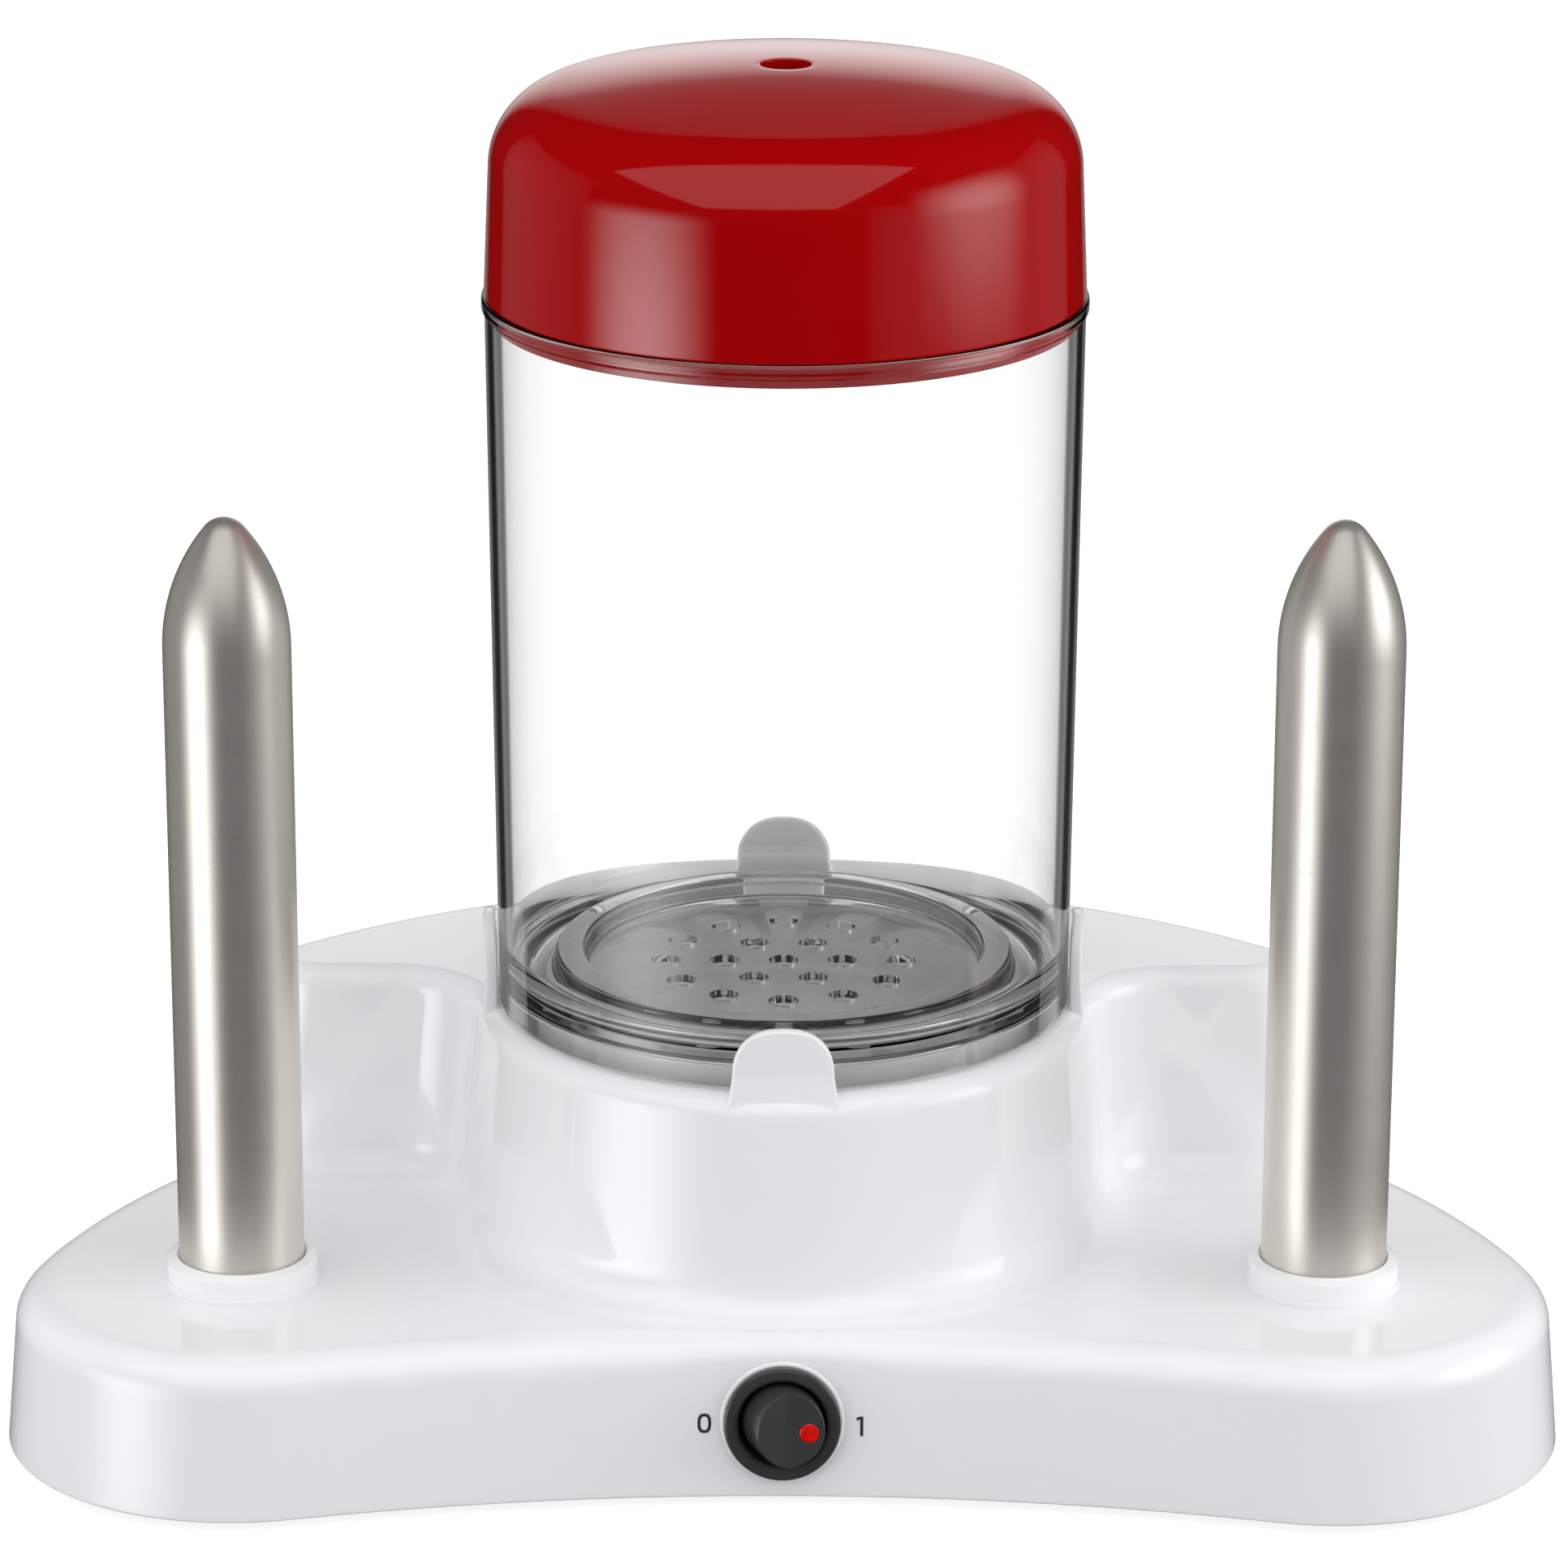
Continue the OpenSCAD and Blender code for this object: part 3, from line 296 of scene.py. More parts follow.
# %% [markdown]
# ## The lamps
# The red lid tells how the machine was lit: on each side it mirrors a wide, weak panel and a bright spot
# that fades out softly, then a large panel above the camera, a white screen behind, and darkness in
# between. Area lamps of the same size and place give the same shine. Their power is worked out from how
# bright each panel looks, because a large lamp spreads its watts over its whole face. Its softness is how
# soon the brightness falls off to the edges: along each side it follows a hump that is a quarter high in
# the middle, times four, raised to that power.

# %% Lamps
aim = Vector((0, 0, 0.12))
hump_to_full = 4


def panel(name, centre, across, up, brightness):
    """A soft box given by its middle and two edges, turned to the machine and hidden from the camera."""
    centre, across, up = Vector(centre), Vector(across), Vector(up)
    back = across.cross(up).normalized()
    if back.dot(aim - centre) > 0:
        across, back = -across, -back
    data = bpy.data.lights.new(name, "AREA")
    data.shape = "RECTANGLE"
    data.size = across.length
    data.size_y = up.length
    data.energy = math.pi * across.length * up.length * brightness
    lamp = bpy.data.objects.new(name, data)
    facing = Matrix((across.normalized(), up.normalized(), back)).transposed()
    lamp.matrix_world = Matrix.Translation(centre) @ facing.to_4x4()
    lamp.visible_camera = False
    bpy.context.collection.objects.link(lamp)
    return lamp


def fade_out(lamp, softness):
    """Lets a lamp's brightness fall from its middle to its edges."""
    lamp.data.use_nodes = True
    tree = lamp.data.node_tree
    place = parts_of(tree, tree.nodes.new("ShaderNodeNewGeometry").outputs["Parametric"])
    swells = []
    for axis in ("X", "Y"):
        rest = maths(tree, "SUBTRACT", 1, place[axis])
        hump = maths(tree, "MULTIPLY", place[axis], rest)
        swells.append(maths(tree, "MULTIPLY", hump, hump_to_full))
    swell = maths(tree, "MULTIPLY", *swells)
    feed(tree, tree.nodes["Emission"].inputs["Strength"], maths(tree, "POWER", swell, softness))


def beside(name, bearing_deg, distance, height, size, brightness, softness):
    """An upright soft box that faces the machine, at a bearing from the camera's side, right positive."""
    turn = math.radians(bearing_deg)
    centre = (distance * math.sin(turn), -distance * math.cos(turn), height)
    across = (size[0] * math.cos(turn), size[0] * math.sin(turn), 0)
    lamp = panel(name, centre, across, (0, 0, size[1]), brightness)
    fade_out(lamp, softness)
    return lamp


# After its name, each upright lamp has its bearing, distance, height, size, brightness and softness.
lamps = [
    beside("left_panel", -108, 1.05, 0.15, (1.15, 1.2), 0.2, 0.35),
    beside("right_panel", 110, 1.05, 0.15, (0.95, 1.2), 0.2, 0.35),
    beside("left_spot", -54, 1.1, -0.1, (1.3, 1.12), 4.6, 2.6),
    beside("right_spot", 76, 1.0, 0.36, (1.15, 1.1), 3.3, 2),
    beside("right_fill", 45, 1.05, 0.1, (0.6, 1.0), 0.25, 1),
    beside("back_screen", 180, 0.75, 0.33, (0.64, 0.35), 1.0, 1),
    panel("top_panel", (-0.3, -1.2, 1.11), (2.1, 0, 0), (0, 2.0, 0.38), 0.85),
]
bpy.data.objects["back_screen"].visible_transmission = False
print("Lamp watts:", {lamp.name: round(lamp.data.energy, 1) for lamp in lamps})

# %% [markdown]
# ## A kit for finishes
# Every material starts from one Principled shader. What makes it look real is that nothing on a surface
# is quite even: a moulding's gloss wanders, brushed steel has lines, rubber has grain. Small helpers do
# this with noise that is measured in millimetres: one for the noise, one for a number that follows it,
# one for colour, one for relief.

# %% Finish helpers
noise_core = (0.3, 0.7)


def shader_of(material):
    """The inputs of a material's Principled shader."""
    return material.node_tree.nodes["Principled BSDF"].inputs


def new_finish(name, **numbers):
    """A material with its shader's sockets set; an underscore stands for a space in a socket's name."""
    material = bpy.data.materials.new(name)
    material.use_nodes = True
    for socket, value in numbers.items():
        shader_of(material)[socket.replace("_", " ")].default_value = value
    return material


def grain(material, size, stretch=(1, 1, 1), detail=2):
    """Noise fixed to the piece, in blotches of about size mm, drawn out along each axis by stretch."""
    tree = material.node_tree
    where = tree.nodes.new("ShaderNodeTexCoord")
    fit = tree.nodes.new("ShaderNodeMapping")
    feed(tree, fit.inputs["Scale"], [1 / (size * mm * pull) for pull in stretch])
    feed(tree, fit.inputs["Vector"], where.outputs["Object"])
    noise = tree.nodes.new("ShaderNodeTexNoise")
    for name, value in (("Scale", 1), ("Detail", detail), ("Vector", fit.outputs["Vector"])):
        feed(tree, noise.inputs[name], value)
    return noise.outputs["Fac"]


def vary(material, socket, factor, low, high):
    """Lets a number of the shader wander between low and high with the core of a noise."""
    tree = material.node_tree
    feed(tree, shader_of(material)[socket], spread(tree, factor, *noise_core, low, high))


def vary_colour(material, factor, low, high):
    """Lets the colour wander between two colours with a noise."""
    tree = material.node_tree
    feed(tree, shader_of(material)["Base Color"], mixed_colour(tree, factor, (*low, 1), (*high, 1)))


def relief(material, factor, depth):
    """Raises and sinks the surface by a noise, depth in mm."""
    tree = material.node_tree
    bump = tree.nodes.new("ShaderNodeBump")
    feed(tree, bump.inputs["Distance"], depth * mm)
    feed(tree, bump.inputs["Height"], factor)
    feed(tree, shader_of(material)["Normal"], bump.outputs["Normal"])


finishes = {}
print("Finish helpers ready")

# %% [markdown]
# ## Moulded plastics, metals and rubber
# Most pieces share one recipe: a colour that drifts a little, a gloss that wanders, and a fine relief.
# What differs is the numbers, so they stand in one list, a line for each finish: two colours, two
# roughness values, how metallic it is, the size of the grain and its depth. The gloss plastics get a
# wide, very shallow relief, which bends reflections the way a real moulding does.

# %% Plain finishes
plain_finishes = {
    "white_gloss": ((0.79, 0.796, 0.81), (0.81, 0.816, 0.83), (0.05, 0.09), 0, 14, 0.004),
    "red_gloss": ((0.32, 0.0004, 0.0012), (0.34, 0.0006, 0.0018), (0.05, 0.09), 0, 16, 0.003),
    "black_plastic": ((0.036, 0.036, 0.038), (0.046, 0.046, 0.048), (0.2, 0.28), 0, 0.5, 0.0015),
    "cover_plastic": ((0.52, 0.52, 0.51), (0.58, 0.58, 0.57), (0.45, 0.6), 0, 0.6, 0.012),
    "pressed_steel": ((0.74, 0.74, 0.745), (0.84, 0.84, 0.845), (0.38, 0.5), 0.3, 3, 0.002),
    "zinc_steel": ((0.52, 0.54, 0.57), (0.66, 0.67, 0.68), (0.28, 0.42), 1, 2, 0.003),
    "aluminium": ((0.72, 0.73, 0.74), (0.80, 0.80, 0.81), (0.3, 0.42), 1, 1.5, 0.002),
    "heater_sheath": ((0.10, 0.095, 0.09), (0.18, 0.16, 0.145), (0.45, 0.6), 0.8, 2.5, 0.004),
    "brass": ((0.62, 0.44, 0.16), (0.72, 0.53, 0.22), (0.25, 0.4), 1, 1.5, 0.002),
    "rubber": ((0.022, 0.022, 0.023), (0.035, 0.035, 0.036), (0.7, 0.88), 0, 0.4, 0.02),
    "silicone": ((0.42, 0.05, 0.035), (0.50, 0.07, 0.05), (0.5, 0.62), 0, 1.2, 0.006),
    "ceramic": ((0.74, 0.70, 0.62), (0.82, 0.79, 0.72), (0.4, 0.6), 0, 0.8, 0.01),
    "lead_brown": ((0.13, 0.05, 0.02), (0.18, 0.075, 0.03), (0.35, 0.5), 0, 1, 0.004),
    "lead_blue": ((0.03, 0.10, 0.32), (0.045, 0.14, 0.40), (0.35, 0.5), 0, 1, 0.004),
}
for slot_name, (dark, light, gloss, metal, grain_size, depth) in plain_finishes.items():
    plain = new_finish(slot_name, Metallic=metal)
    drift = grain(plain, grain_size)
    vary_colour(plain, drift, dark, light)
    vary(plain, "Roughness", drift, *gloss)
    relief(plain, drift, depth)
    finishes[slot_name] = plain
print("Plain finishes:", sorted(finishes))

# %% [markdown]
# ## Brushed stainless steel
# The spikes are tubes that were polished while they turned, so their fine lines run round them and their
# shine is drawn out along them. Noise squeezed to a hair's breadth in height gives the lines. The
# shader's anisotropy gives the long shine: its tangent runs round the tube, and a quarter turn sets the
# stretch upright. A little of the pale diffuse colour stands for the scratches that scatter light every
# way.

# %% Brushed steel
brushed = new_finish("stainless", Metallic=0.85, Anisotropic=0.4, Anisotropic_Rotation=0.25)
brush_lines = grain(brushed, size=0.12, stretch=(150, 150, 1), detail=3)
vary_colour(brushed, brush_lines, (0.68, 0.655, 0.60), (0.76, 0.73, 0.675))
vary(brushed, "Roughness", brush_lines, low=0.35, high=0.44)
relief(brushed, brush_lines, depth=0.0008)
around = brushed.node_tree.nodes.new("ShaderNodeTangent")
around.direction_type = "RADIAL"
around.axis = "Z"
feed(brushed.node_tree, shader_of(brushed)["Tangent"], around.outputs["Tangent"])
finishes["stainless"] = brushed
print("Brushed steel nodes:", len(brushed.node_tree.nodes))

# %% [markdown]
# ## Clear plastic
# The jar is a clear moulding. Seen straight on it is nearly invisible, and along its outline, where the
# eye looks through a long stretch of plastic, it turns grey, with a dark core a little inside the edge. A
# glass shader alone finds only white surroundings here and would draw no outline, so Layer Weight picks
# a painted edge shade from a ramp by how far the surface turns away: a grey and dark outline painted into
# the jar's colour. The real cause is that the wall bends the eye's way round into the dark room. Only
# upright walls do that, so the painted shade fades out where the surface faces up or down, as on the
# jar's floor.

# %% Clear plastic
clear_index = 1.49
clearness = 0.997
# Each stop of the painted edge shade has how far the surface turns away, from 0 to 1, and how much light
# passes there.
painted_edge_shades = ((0.755, clearness), (0.775, 0.25), (0.79, 0.01), (0.84, 0.01), (0.88, 0.035), (1.0, 0.05))
upright_from, upright_to = 0.5, 0.2

clear = new_finish("clear_plastic", Transmission_Weight=1, IOR=clear_index)
clear_tree = clear.node_tree
turned_away = clear_tree.nodes.new("ShaderNodeLayerWeight").outputs["Facing"]
# Painted shade: a grey and dark outline is painted into the clear colour where the surface turns away.
painted_edge_shade = grey_ramp(clear_tree, turned_away, painted_edge_shades)
surface = clear_tree.nodes.new("ShaderNodeNewGeometry").outputs["Normal"]
tilt = maths(clear_tree, "ABSOLUTE", parts_of(clear_tree, surface)["Z"])
upright = spread(clear_tree, tilt, upright_from, upright_to)
no_tint = (clearness, clearness, clearness, 1)
clear_colour = mixed_colour(clear_tree, upright, no_tint, painted_edge_shade)
feed(clear_tree, shader_of(clear)["Base Color"], clear_colour)
vary(clear, "Roughness", grain(clear, size=30), low=0.0, high=0.02)
finishes["clear_plastic"] = clear
print("Clear plastic index:", clear_index)

# %% [markdown]
# ## The lamp window
# A small red window in the rocker glows while the machine is on. It is a gloss plastic with a weak light
# of its own, brighter in some spots than in others, as the little bulb behind it is.

# %% Lamp red
lamp_red = new_finish("lamp_red", Roughness=0.18, Emission_Color=(1.0, 0.006, 0.003, 1))
lamp_spots = grain(lamp_red, size=1.5)
vary_colour(lamp_red, lamp_spots, (0.32, 0.002, 0.002), (0.45, 0.004, 0.003))
vary(lamp_red, "Emission Strength", lamp_spots, low=0.1, high=0.3)
finishes["lamp_red"] = lamp_red

# %% [markdown]
# ## The pieces whose CAD shape is right
# Everything that sits inside the machine or under it keeps its exact mesh and only gets a finish. The
# record says which material slot each node has, so one loop dresses all of them. The pieces that are
# modelled again further down hide their nodes, so it does no harm that the loop dresses those too.

# %% Dress the CAD nodes
for part in frame["record"]["subparts"]:
    cad_mesh = frame["nodes"][part["node"]].data
    cad_finish = finishes[part["material_slot"]]
    if cad_mesh.materials:
        cad_mesh.materials[0] = cad_finish
    else:
        cad_mesh.materials.append(cad_finish)

# %% [markdown]
# ## A kit for shapes
# Two ways of building cover nearly every piece here. A loft joins columns of points into one closed skin,
# all the way round or from one cap to another. A turned shape is a loft too, with the same outline in
# every column, as on a lathe, and a rod is the plainest of them. Outlines are written as a few corners in
# millimetres, each with its own rounding, because no moulded edge is truly sharp.

# %% Outline helpers
def rounded(corners, steps=6):
    """A closed outline from corners (x, z) or (x, z, radius); a radius rounds its corner."""
    outline = []
    for i, (x, z, *radius) in enumerate(corners):
        here = Vector((x, z))
        if not radius:
            outline.append(here)
            continue
        back = (Vector(corners[i - 1][:2]) - here).normalized()
        ahead = (Vector(corners[(i + 1) % len(corners)][:2]) - here).normalized()
        half = back.angle(ahead) / 2
        centre = here + (back + ahead).normalized() * radius[0] / math.sin(half)
        start = here + back * radius[0] / math.tan(half) - centre
        end = here + ahead * radius[0] / math.tan(half) - centre
        outline += [centre + arm for arm in arc_between(start, end, steps)]
    return outline


def arc_between(start, end, steps):
    """Arms that swing from start to end the short way round."""
    first = math.atan2(start.y, start.x)
    swing = math.remainder(math.atan2(end.y, end.x) - first, 2 * math.pi)
    angles = [first + swing * k / steps for k in range(steps + 1)]
    return [start.length * Vector((math.cos(q), math.sin(q))) for q in angles]


def along_arcs(arcs, draw_in, steps):
    """Points along a chain of arcs, each with centre, radius, start and end, whose radii are drawn in."""
    points = []
    for centre, radius, start, end in arcs:
        angles = [start + (end - start) * k / steps for k in range(steps + 1)]
        points += [centre + (radius - draw_in) * Vector((math.cos(q), math.sin(q))) for q in angles]
    return [tuple(point) for point in points]


print("Points of a square with one round corner:", len(rounded([(0, 0), (1, 0), (1, 1, 0.2), (0, 1)])))

# %% Skin helpers
merge_distance = 1e-4


def walled(columns, all_round):
    """A wall through columns of points, and its rings of corners; the last may join the first."""
    shape = bmesh.new()
    rings = [[shape.verts.new(point) for point in column] for column in columns]
    for ring, following in zip(rings, rings[1:] + rings[:1] if all_round else rings[1:]):
        for j in range(len(ring)):
            shape.faces.new((ring[j - 1], ring[j], following[j], following[j - 1]))
    return shape, rings


def sealed(shape):
    """The shape with doubled points merged and all faces turned outwards."""
    bmesh.ops.remove_doubles(shape, verts=shape.verts, dist=merge_distance)
    bmesh.ops.recalc_face_normals(shape, faces=shape.faces)
    return shape


def loft(columns, all_round=True):
    """A closed skin through columns of points: the last one joins the first, or both ends get a cap."""
    shape, rings = walled(columns, all_round)
    if not all_round:
        for ring in (rings[0], rings[-1]):
            shape.faces.new(ring)
    return sealed(shape)


def turned(outline, segments=160):
    """A closed outline of (radius, height), spun round the upright axis."""
    turns = [2 * math.pi * k / segments for k in range(segments)]
    return loft([[(x * math.cos(q), x * math.sin(q), z) for x, z in outline] for q in turns])


def rod(radius, low, high, segments=64):
    """A round bar on the upright axis."""
    return turned([(0, low), (radius, low), (radius, high), (0, high)], segments)


print("Skin helpers ready")

# %% Places of the CAD nodes
def box_mm(node):
    """Lowest and highest corner of a CAD node in mm."""
    low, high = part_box(node)
    return low / mm, high / mm


def middle(node):
    """Middle of a CAD node's box in mm."""
    low, high = box_mm(node)
    return (low + high) / 2


jar_axis = middle("jar")
jar_low, jar_high = box_mm("jar")
print("Jar axis in mm:", [round(v, 2) for v in jar_axis[:2]])

# %% [markdown]
# ## From a shape to a finished piece
# Each shape is drawn in millimetres in a handy place of its own, then scaled to metres, set where it
# belongs, given its finish and tied to the body that it moves with. Smooth shading with a crease angle
# keeps curves soft and real edges crisp.

# %% Piece helpers
def at(x, y, z):
    """A placing, in mm."""
    return Matrix.Translation((x, y, z))


def object_from(name, shape, placing=Matrix()):
    """A Blender object from a shape in mm."""
    mesh = bpy.data.meshes.new(name)
    shape.to_mesh(mesh)
    shape.free()
    mesh.transform(Matrix.Scale(mm, 4))
    made = bpy.data.objects.new(name, mesh)
    metres = placing.copy()
    metres.translation *= mm
    made.matrix_world = metres
    bpy.context.collection.objects.link(made)
    return made


def soften(piece, crease=38):
    """Smooth shading, except across edges that turn by more than the crease angle."""
    piece.data.shade_smooth()
    piece.data.set_sharp_from_angle(angle=math.radians(crease))


def add_piece(name, shape, slot, body, stands_for=(), placing=Matrix()):
    """A finished piece that rides on its body and stands for the CAD nodes that it replaces."""
    piece = object_from(name, shape, placing)
    soften(piece)
    piece.data.materials.append(finishes[slot])
    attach(piece, body)
    if stands_for:
        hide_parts(*stands_for)
    print(f"{name}: {len(piece.data.polygons)} faces")
    return piece


def combine(piece, shape, operation):
    """Adds a shape to a piece or cuts it out, in the piece's own place."""
    helper = object_from("helper", shape)
    helper.matrix_world = piece.matrix_world
    modifier = piece.modifiers.new("combine", "BOOLEAN")
    modifier.operation = operation
    modifier.solver = "EXACT"
    modifier.object = helper
    bpy.context.view_layer.update()
    shown = piece.evaluated_get(bpy.context.evaluated_depsgraph_get())
    result = bpy.data.meshes.new_from_object(shown)
    piece.modifiers.clear()
    piece.data = result
    bpy.data.objects.remove(helper)
    soften(piece)
    print(f"{piece.name} after {operation.lower()}: {len(piece.data.polygons)} faces")


def gathered(parts):
    """One shape from several pairs of shape and placing."""
    whole = bmesh.new()
    for shape, placing in parts:
        shape.transform(placing)
        mesh = bpy.data.meshes.new("part")
        shape.to_mesh(mesh)
        shape.free()
        whole.from_mesh(mesh)
        bpy.data.meshes.remove(mesh)
    return whole


on_jar_axis = at(jar_axis.x, jar_axis.y, 0)
print("Piece helpers ready")

# %% [markdown]
# ## The plan of the white base
# Seen from above, the base is two round lobes about the spikes, joined by a hollow waist in front and one
# wide arc behind. The tower and the shoulders behind it have a plan of their own. Each plan is a chain of
# arcs that touch without a corner, so it can be written as the distance from one point, the hub, along
# any bearing. Leaning walls and roundings then only need the plan drawn in or let out a little.

# %% Plan of the base
seat_clear = 0.1
lobe_r = 47.6
waist_ledge = 10.3
rear_margin = 15.8
deck_h = 34.5
base_lean = math.tan(math.radians(5.2))
shell_lift = 2.4
seat_h = jar_low.z - seat_clear
jar_foot_r = 58
seat_margin = 0.2
tower_lean = math.tan(math.radians(5.5))
tower_edge_r = 4
shoulder_front = 13
shoulder_flare_r = 20
shoulder_end_r = 10
rear_step = 3
hub_behind = 1

lobe = (middle("right_spike") - jar_axis).xy
tower_r = jar_foot_r + seat_margin + tower_edge_r
block_lean = (seat_h - deck_h) * tower_lean
deck_lean = (deck_h - shell_lift) * base_lean
waist_y = -(tower_r + block_lean + waist_ledge + deck_lean)
rear_y = tower_r + rear_margin + deck_lean
waist_gap = lobe.y - waist_y
waist_r = (lobe.x ** 2 + waist_gap ** 2 - lobe_r ** 2) / (2 * (lobe_r - waist_gap))
waist = Vector((0, waist_y - waist_r))
rear_gap = rear_y - lobe_r
rear_setback = (lobe.length_squared - rear_gap ** 2) / (2 * (rear_gap - lobe.y))
rear = Vector((0, -rear_setback))
rear_r = rear_y + rear_setback
print("Waist and rear arc radius in mm:", round(waist_r, 1), round(rear_r, 1))

# %% Plan of the tower and shoulders
block_rear_r = rear_r - deck_lean - rear_step - block_lean
flare_y = shoulder_front - shoulder_flare_r
flare = Vector((math.sqrt((tower_r + shoulder_flare_r) ** 2 - flare_y ** 2), flare_y))
end_y = shoulder_front + shoulder_end_r
end_x = math.sqrt((block_rear_r - shoulder_end_r) ** 2 - (end_y + rear_setback) ** 2)
shoulder_end = Vector((end_x, end_y))
hub = Vector((0, end_y + hub_behind))
jar_centre = Vector((0, 0))


def bearing(point):
    """Direction of a point as seen from the hub."""
    return math.atan2(point.y - hub.y, point.x - hub.x)


def reach(a, centre, radius, far=True):
    """Distance from the hub to a circle along bearing a: to its far side or its near side."""
    to_centre = centre - hub
    along = to_centre.x * math.cos(a) + to_centre.y * math.sin(a)
    chord = math.sqrt(max(0, along ** 2 - to_centre.length_squared + radius ** 2))
    return along + chord if far else along - chord


def right_side(a):
    """The same bearing on the right half, since both halves are alike."""
    return a if math.cos(a) >= 0 else math.pi - a


def base_reach(a, inset):
    """Distance from the hub to the base's plan, drawn in by inset."""
    a = right_side(a)
    waist_end = lobe + (lobe_r - inset) * (waist - lobe).normalized()
    lobe_end = lobe + (lobe_r - inset) * (lobe - rear).normalized()
    if a < bearing(waist_end):
        return reach(a, waist, waist_r + inset, far=False)
    if a < bearing(lobe_end):
        return reach(a, lobe, lobe_r - inset)
    return reach(a, rear, rear_r - inset)


def block_reach(a, outset):
    """Distance from the hub to the plan of tower and shoulders, let out by outset."""
    a = right_side(a)
    front_y = shoulder_front - outset
    tower_end = flare.normalized() * (tower_r + outset)
    rear_end = shoulder_end + (shoulder_end_r + outset) * (shoulder_end - rear).normalized()
    if a < bearing(tower_end):
        return reach(a, jar_centre, tower_r + outset)
    if a < bearing(Vector((flare.x, front_y))):
        return reach(a, flare, shoulder_flare_r - outset, far=False)
    if a < bearing(Vector((shoulder_end.x, front_y))):
        return (front_y - hub.y) / math.sin(a)
    if a < bearing(rear_end):
        return reach(a, shoulder_end, shoulder_end_r + outset)
    return reach(a, rear, block_rear_r + outset)


print("Width of the base in mm:", round(2 * (lobe.x + lobe_r), 1))

# %% [markdown]
# ## The white shell
# One column of points goes up the outside wall, over the rounded deck edge, along the deck, up the tower
# and over its top edge, then down into the well that holds the dish, and back along the inside. More than
# five hundred such columns make a skin fine enough for glossy reflections. At the waist there is no room
# for the full roundings, so they shrink there together. Rows close beside each rounding keep its shading
# from leaking into the flat walls.

# %% Section of the shell
wall = 2.5
deck_edge_r = 6.5
tower_foot_r = 8
ledge_min = 0.4
lip_r = 0.5
well_rim_r = 0.6
seat_ring_w = 3
well_depth = 17
well_ledge = 13
well_r = jar_foot_r - seat_ring_w
well_floor = seat_h - well_depth
well_hole_r = well_r - well_ledge
support_shares = (0.04, 0.35, 0.65, 0.96)
fillet_steps = 10
quarter = [math.pi / 2 * k / fillet_steps for k in range(fillet_steps + 1)]


def base_inset(z):
    """How far the leaning outer wall has drawn in at a height."""
    return (z - shell_lift) * base_lean


def block_outset(z):
    """How far the leaning tower wall stands out at a height."""
    return (seat_h - z) * tower_lean


def fillet_share(a):
    """Share of the full roundings that fits on the ledge between base and tower."""
    sharp = base_reach(a, deck_lean) - block_reach(a, block_lean)
    full = base_reach(a, deck_lean + deck_edge_r) - block_reach(a, block_lean + tower_foot_r)
    return 1 if full >= ledge_min else (sharp - ledge_min) / (sharp - full)


def with_supports(stretches):
    """Joins stretches of points, with rows close to both ends of each gap between them."""
    rows = []
    for stretch in stretches:
        if rows:
            last = Vector(rows[-1])
            step = Vector(stretch[0]) - last
            rows += [tuple(last + step * share) for share in support_shares]
        rows += stretch
    return rows


def shell_outside(a):
    """Section of the shell's outside along one bearing: distance from the hub, and height."""
    share = fillet_share(a)
    edge, foot = share * deck_edge_r, share * tower_foot_r
    lip, deck_edge, tower_foot, tower_edge, well_rim = [], [], [], [], []
    for q in quarter:
        out, up = math.cos(q), math.sin(q)
        z = shell_lift + lip_r * (1 - out)
        lip.append((base_reach(a, base_inset(z) + lip_r * (1 - up)), z))
        z = deck_h - edge * (1 - up)
        deck_edge.append((base_reach(a, base_inset(z) + edge * (1 - out)), z))
        z = deck_h + foot * (1 - out)
        tower_foot.append((block_reach(a, block_outset(z) + foot * (1 - up)), z))
        z = seat_h - tower_edge_r * (1 - up)
        tower_edge.append((block_reach(a, block_outset(z) - tower_edge_r * (1 - out)), z))
        z = seat_h - well_rim_r * (1 - out)
        well_rim.append((reach(a, jar_centre, well_r + well_rim_r * (1 - up)), z))
    return with_supports([lip, deck_edge, tower_foot, tower_edge, well_rim])


def shell_inside(a):
    """Section of the well and the shell's inside along one bearing."""
    deck_under = deck_h - wall
    seat_under = seat_h - wall
    chamfer_z = deck_h - deck_edge_r
    tower_d = block_reach(a, block_outset(deck_under) - wall)
    deck_d = base_reach(a, wall + base_inset(deck_under) + deck_edge_r)
    return [
        (reach(a, jar_centre, well_r), well_floor),
        (reach(a, jar_centre, well_hole_r), well_floor),
        (reach(a, jar_centre, well_hole_r), well_floor - wall),
        (reach(a, jar_centre, well_r + wall), well_floor - wall),
        (reach(a, jar_centre, well_r + wall), seat_under),
        (block_reach(a, block_outset(seat_under) - wall), seat_under),
        (tower_d, deck_under),
        (max(deck_d, tower_d + ledge_min), deck_under),
        (base_reach(a, wall + base_inset(chamfer_z)), chamfer_z),
        (base_reach(a, wall), shell_lift),
    ]


def shell_column(a):
    """Points of the whole section along one bearing."""
    section = shell_outside(a) + shell_inside(a)
    return [(hub.x + d * math.cos(a), hub.y + d * math.sin(a), z) for d, z in section]


print("Points in a section of the shell:", len(shell_column(0)))

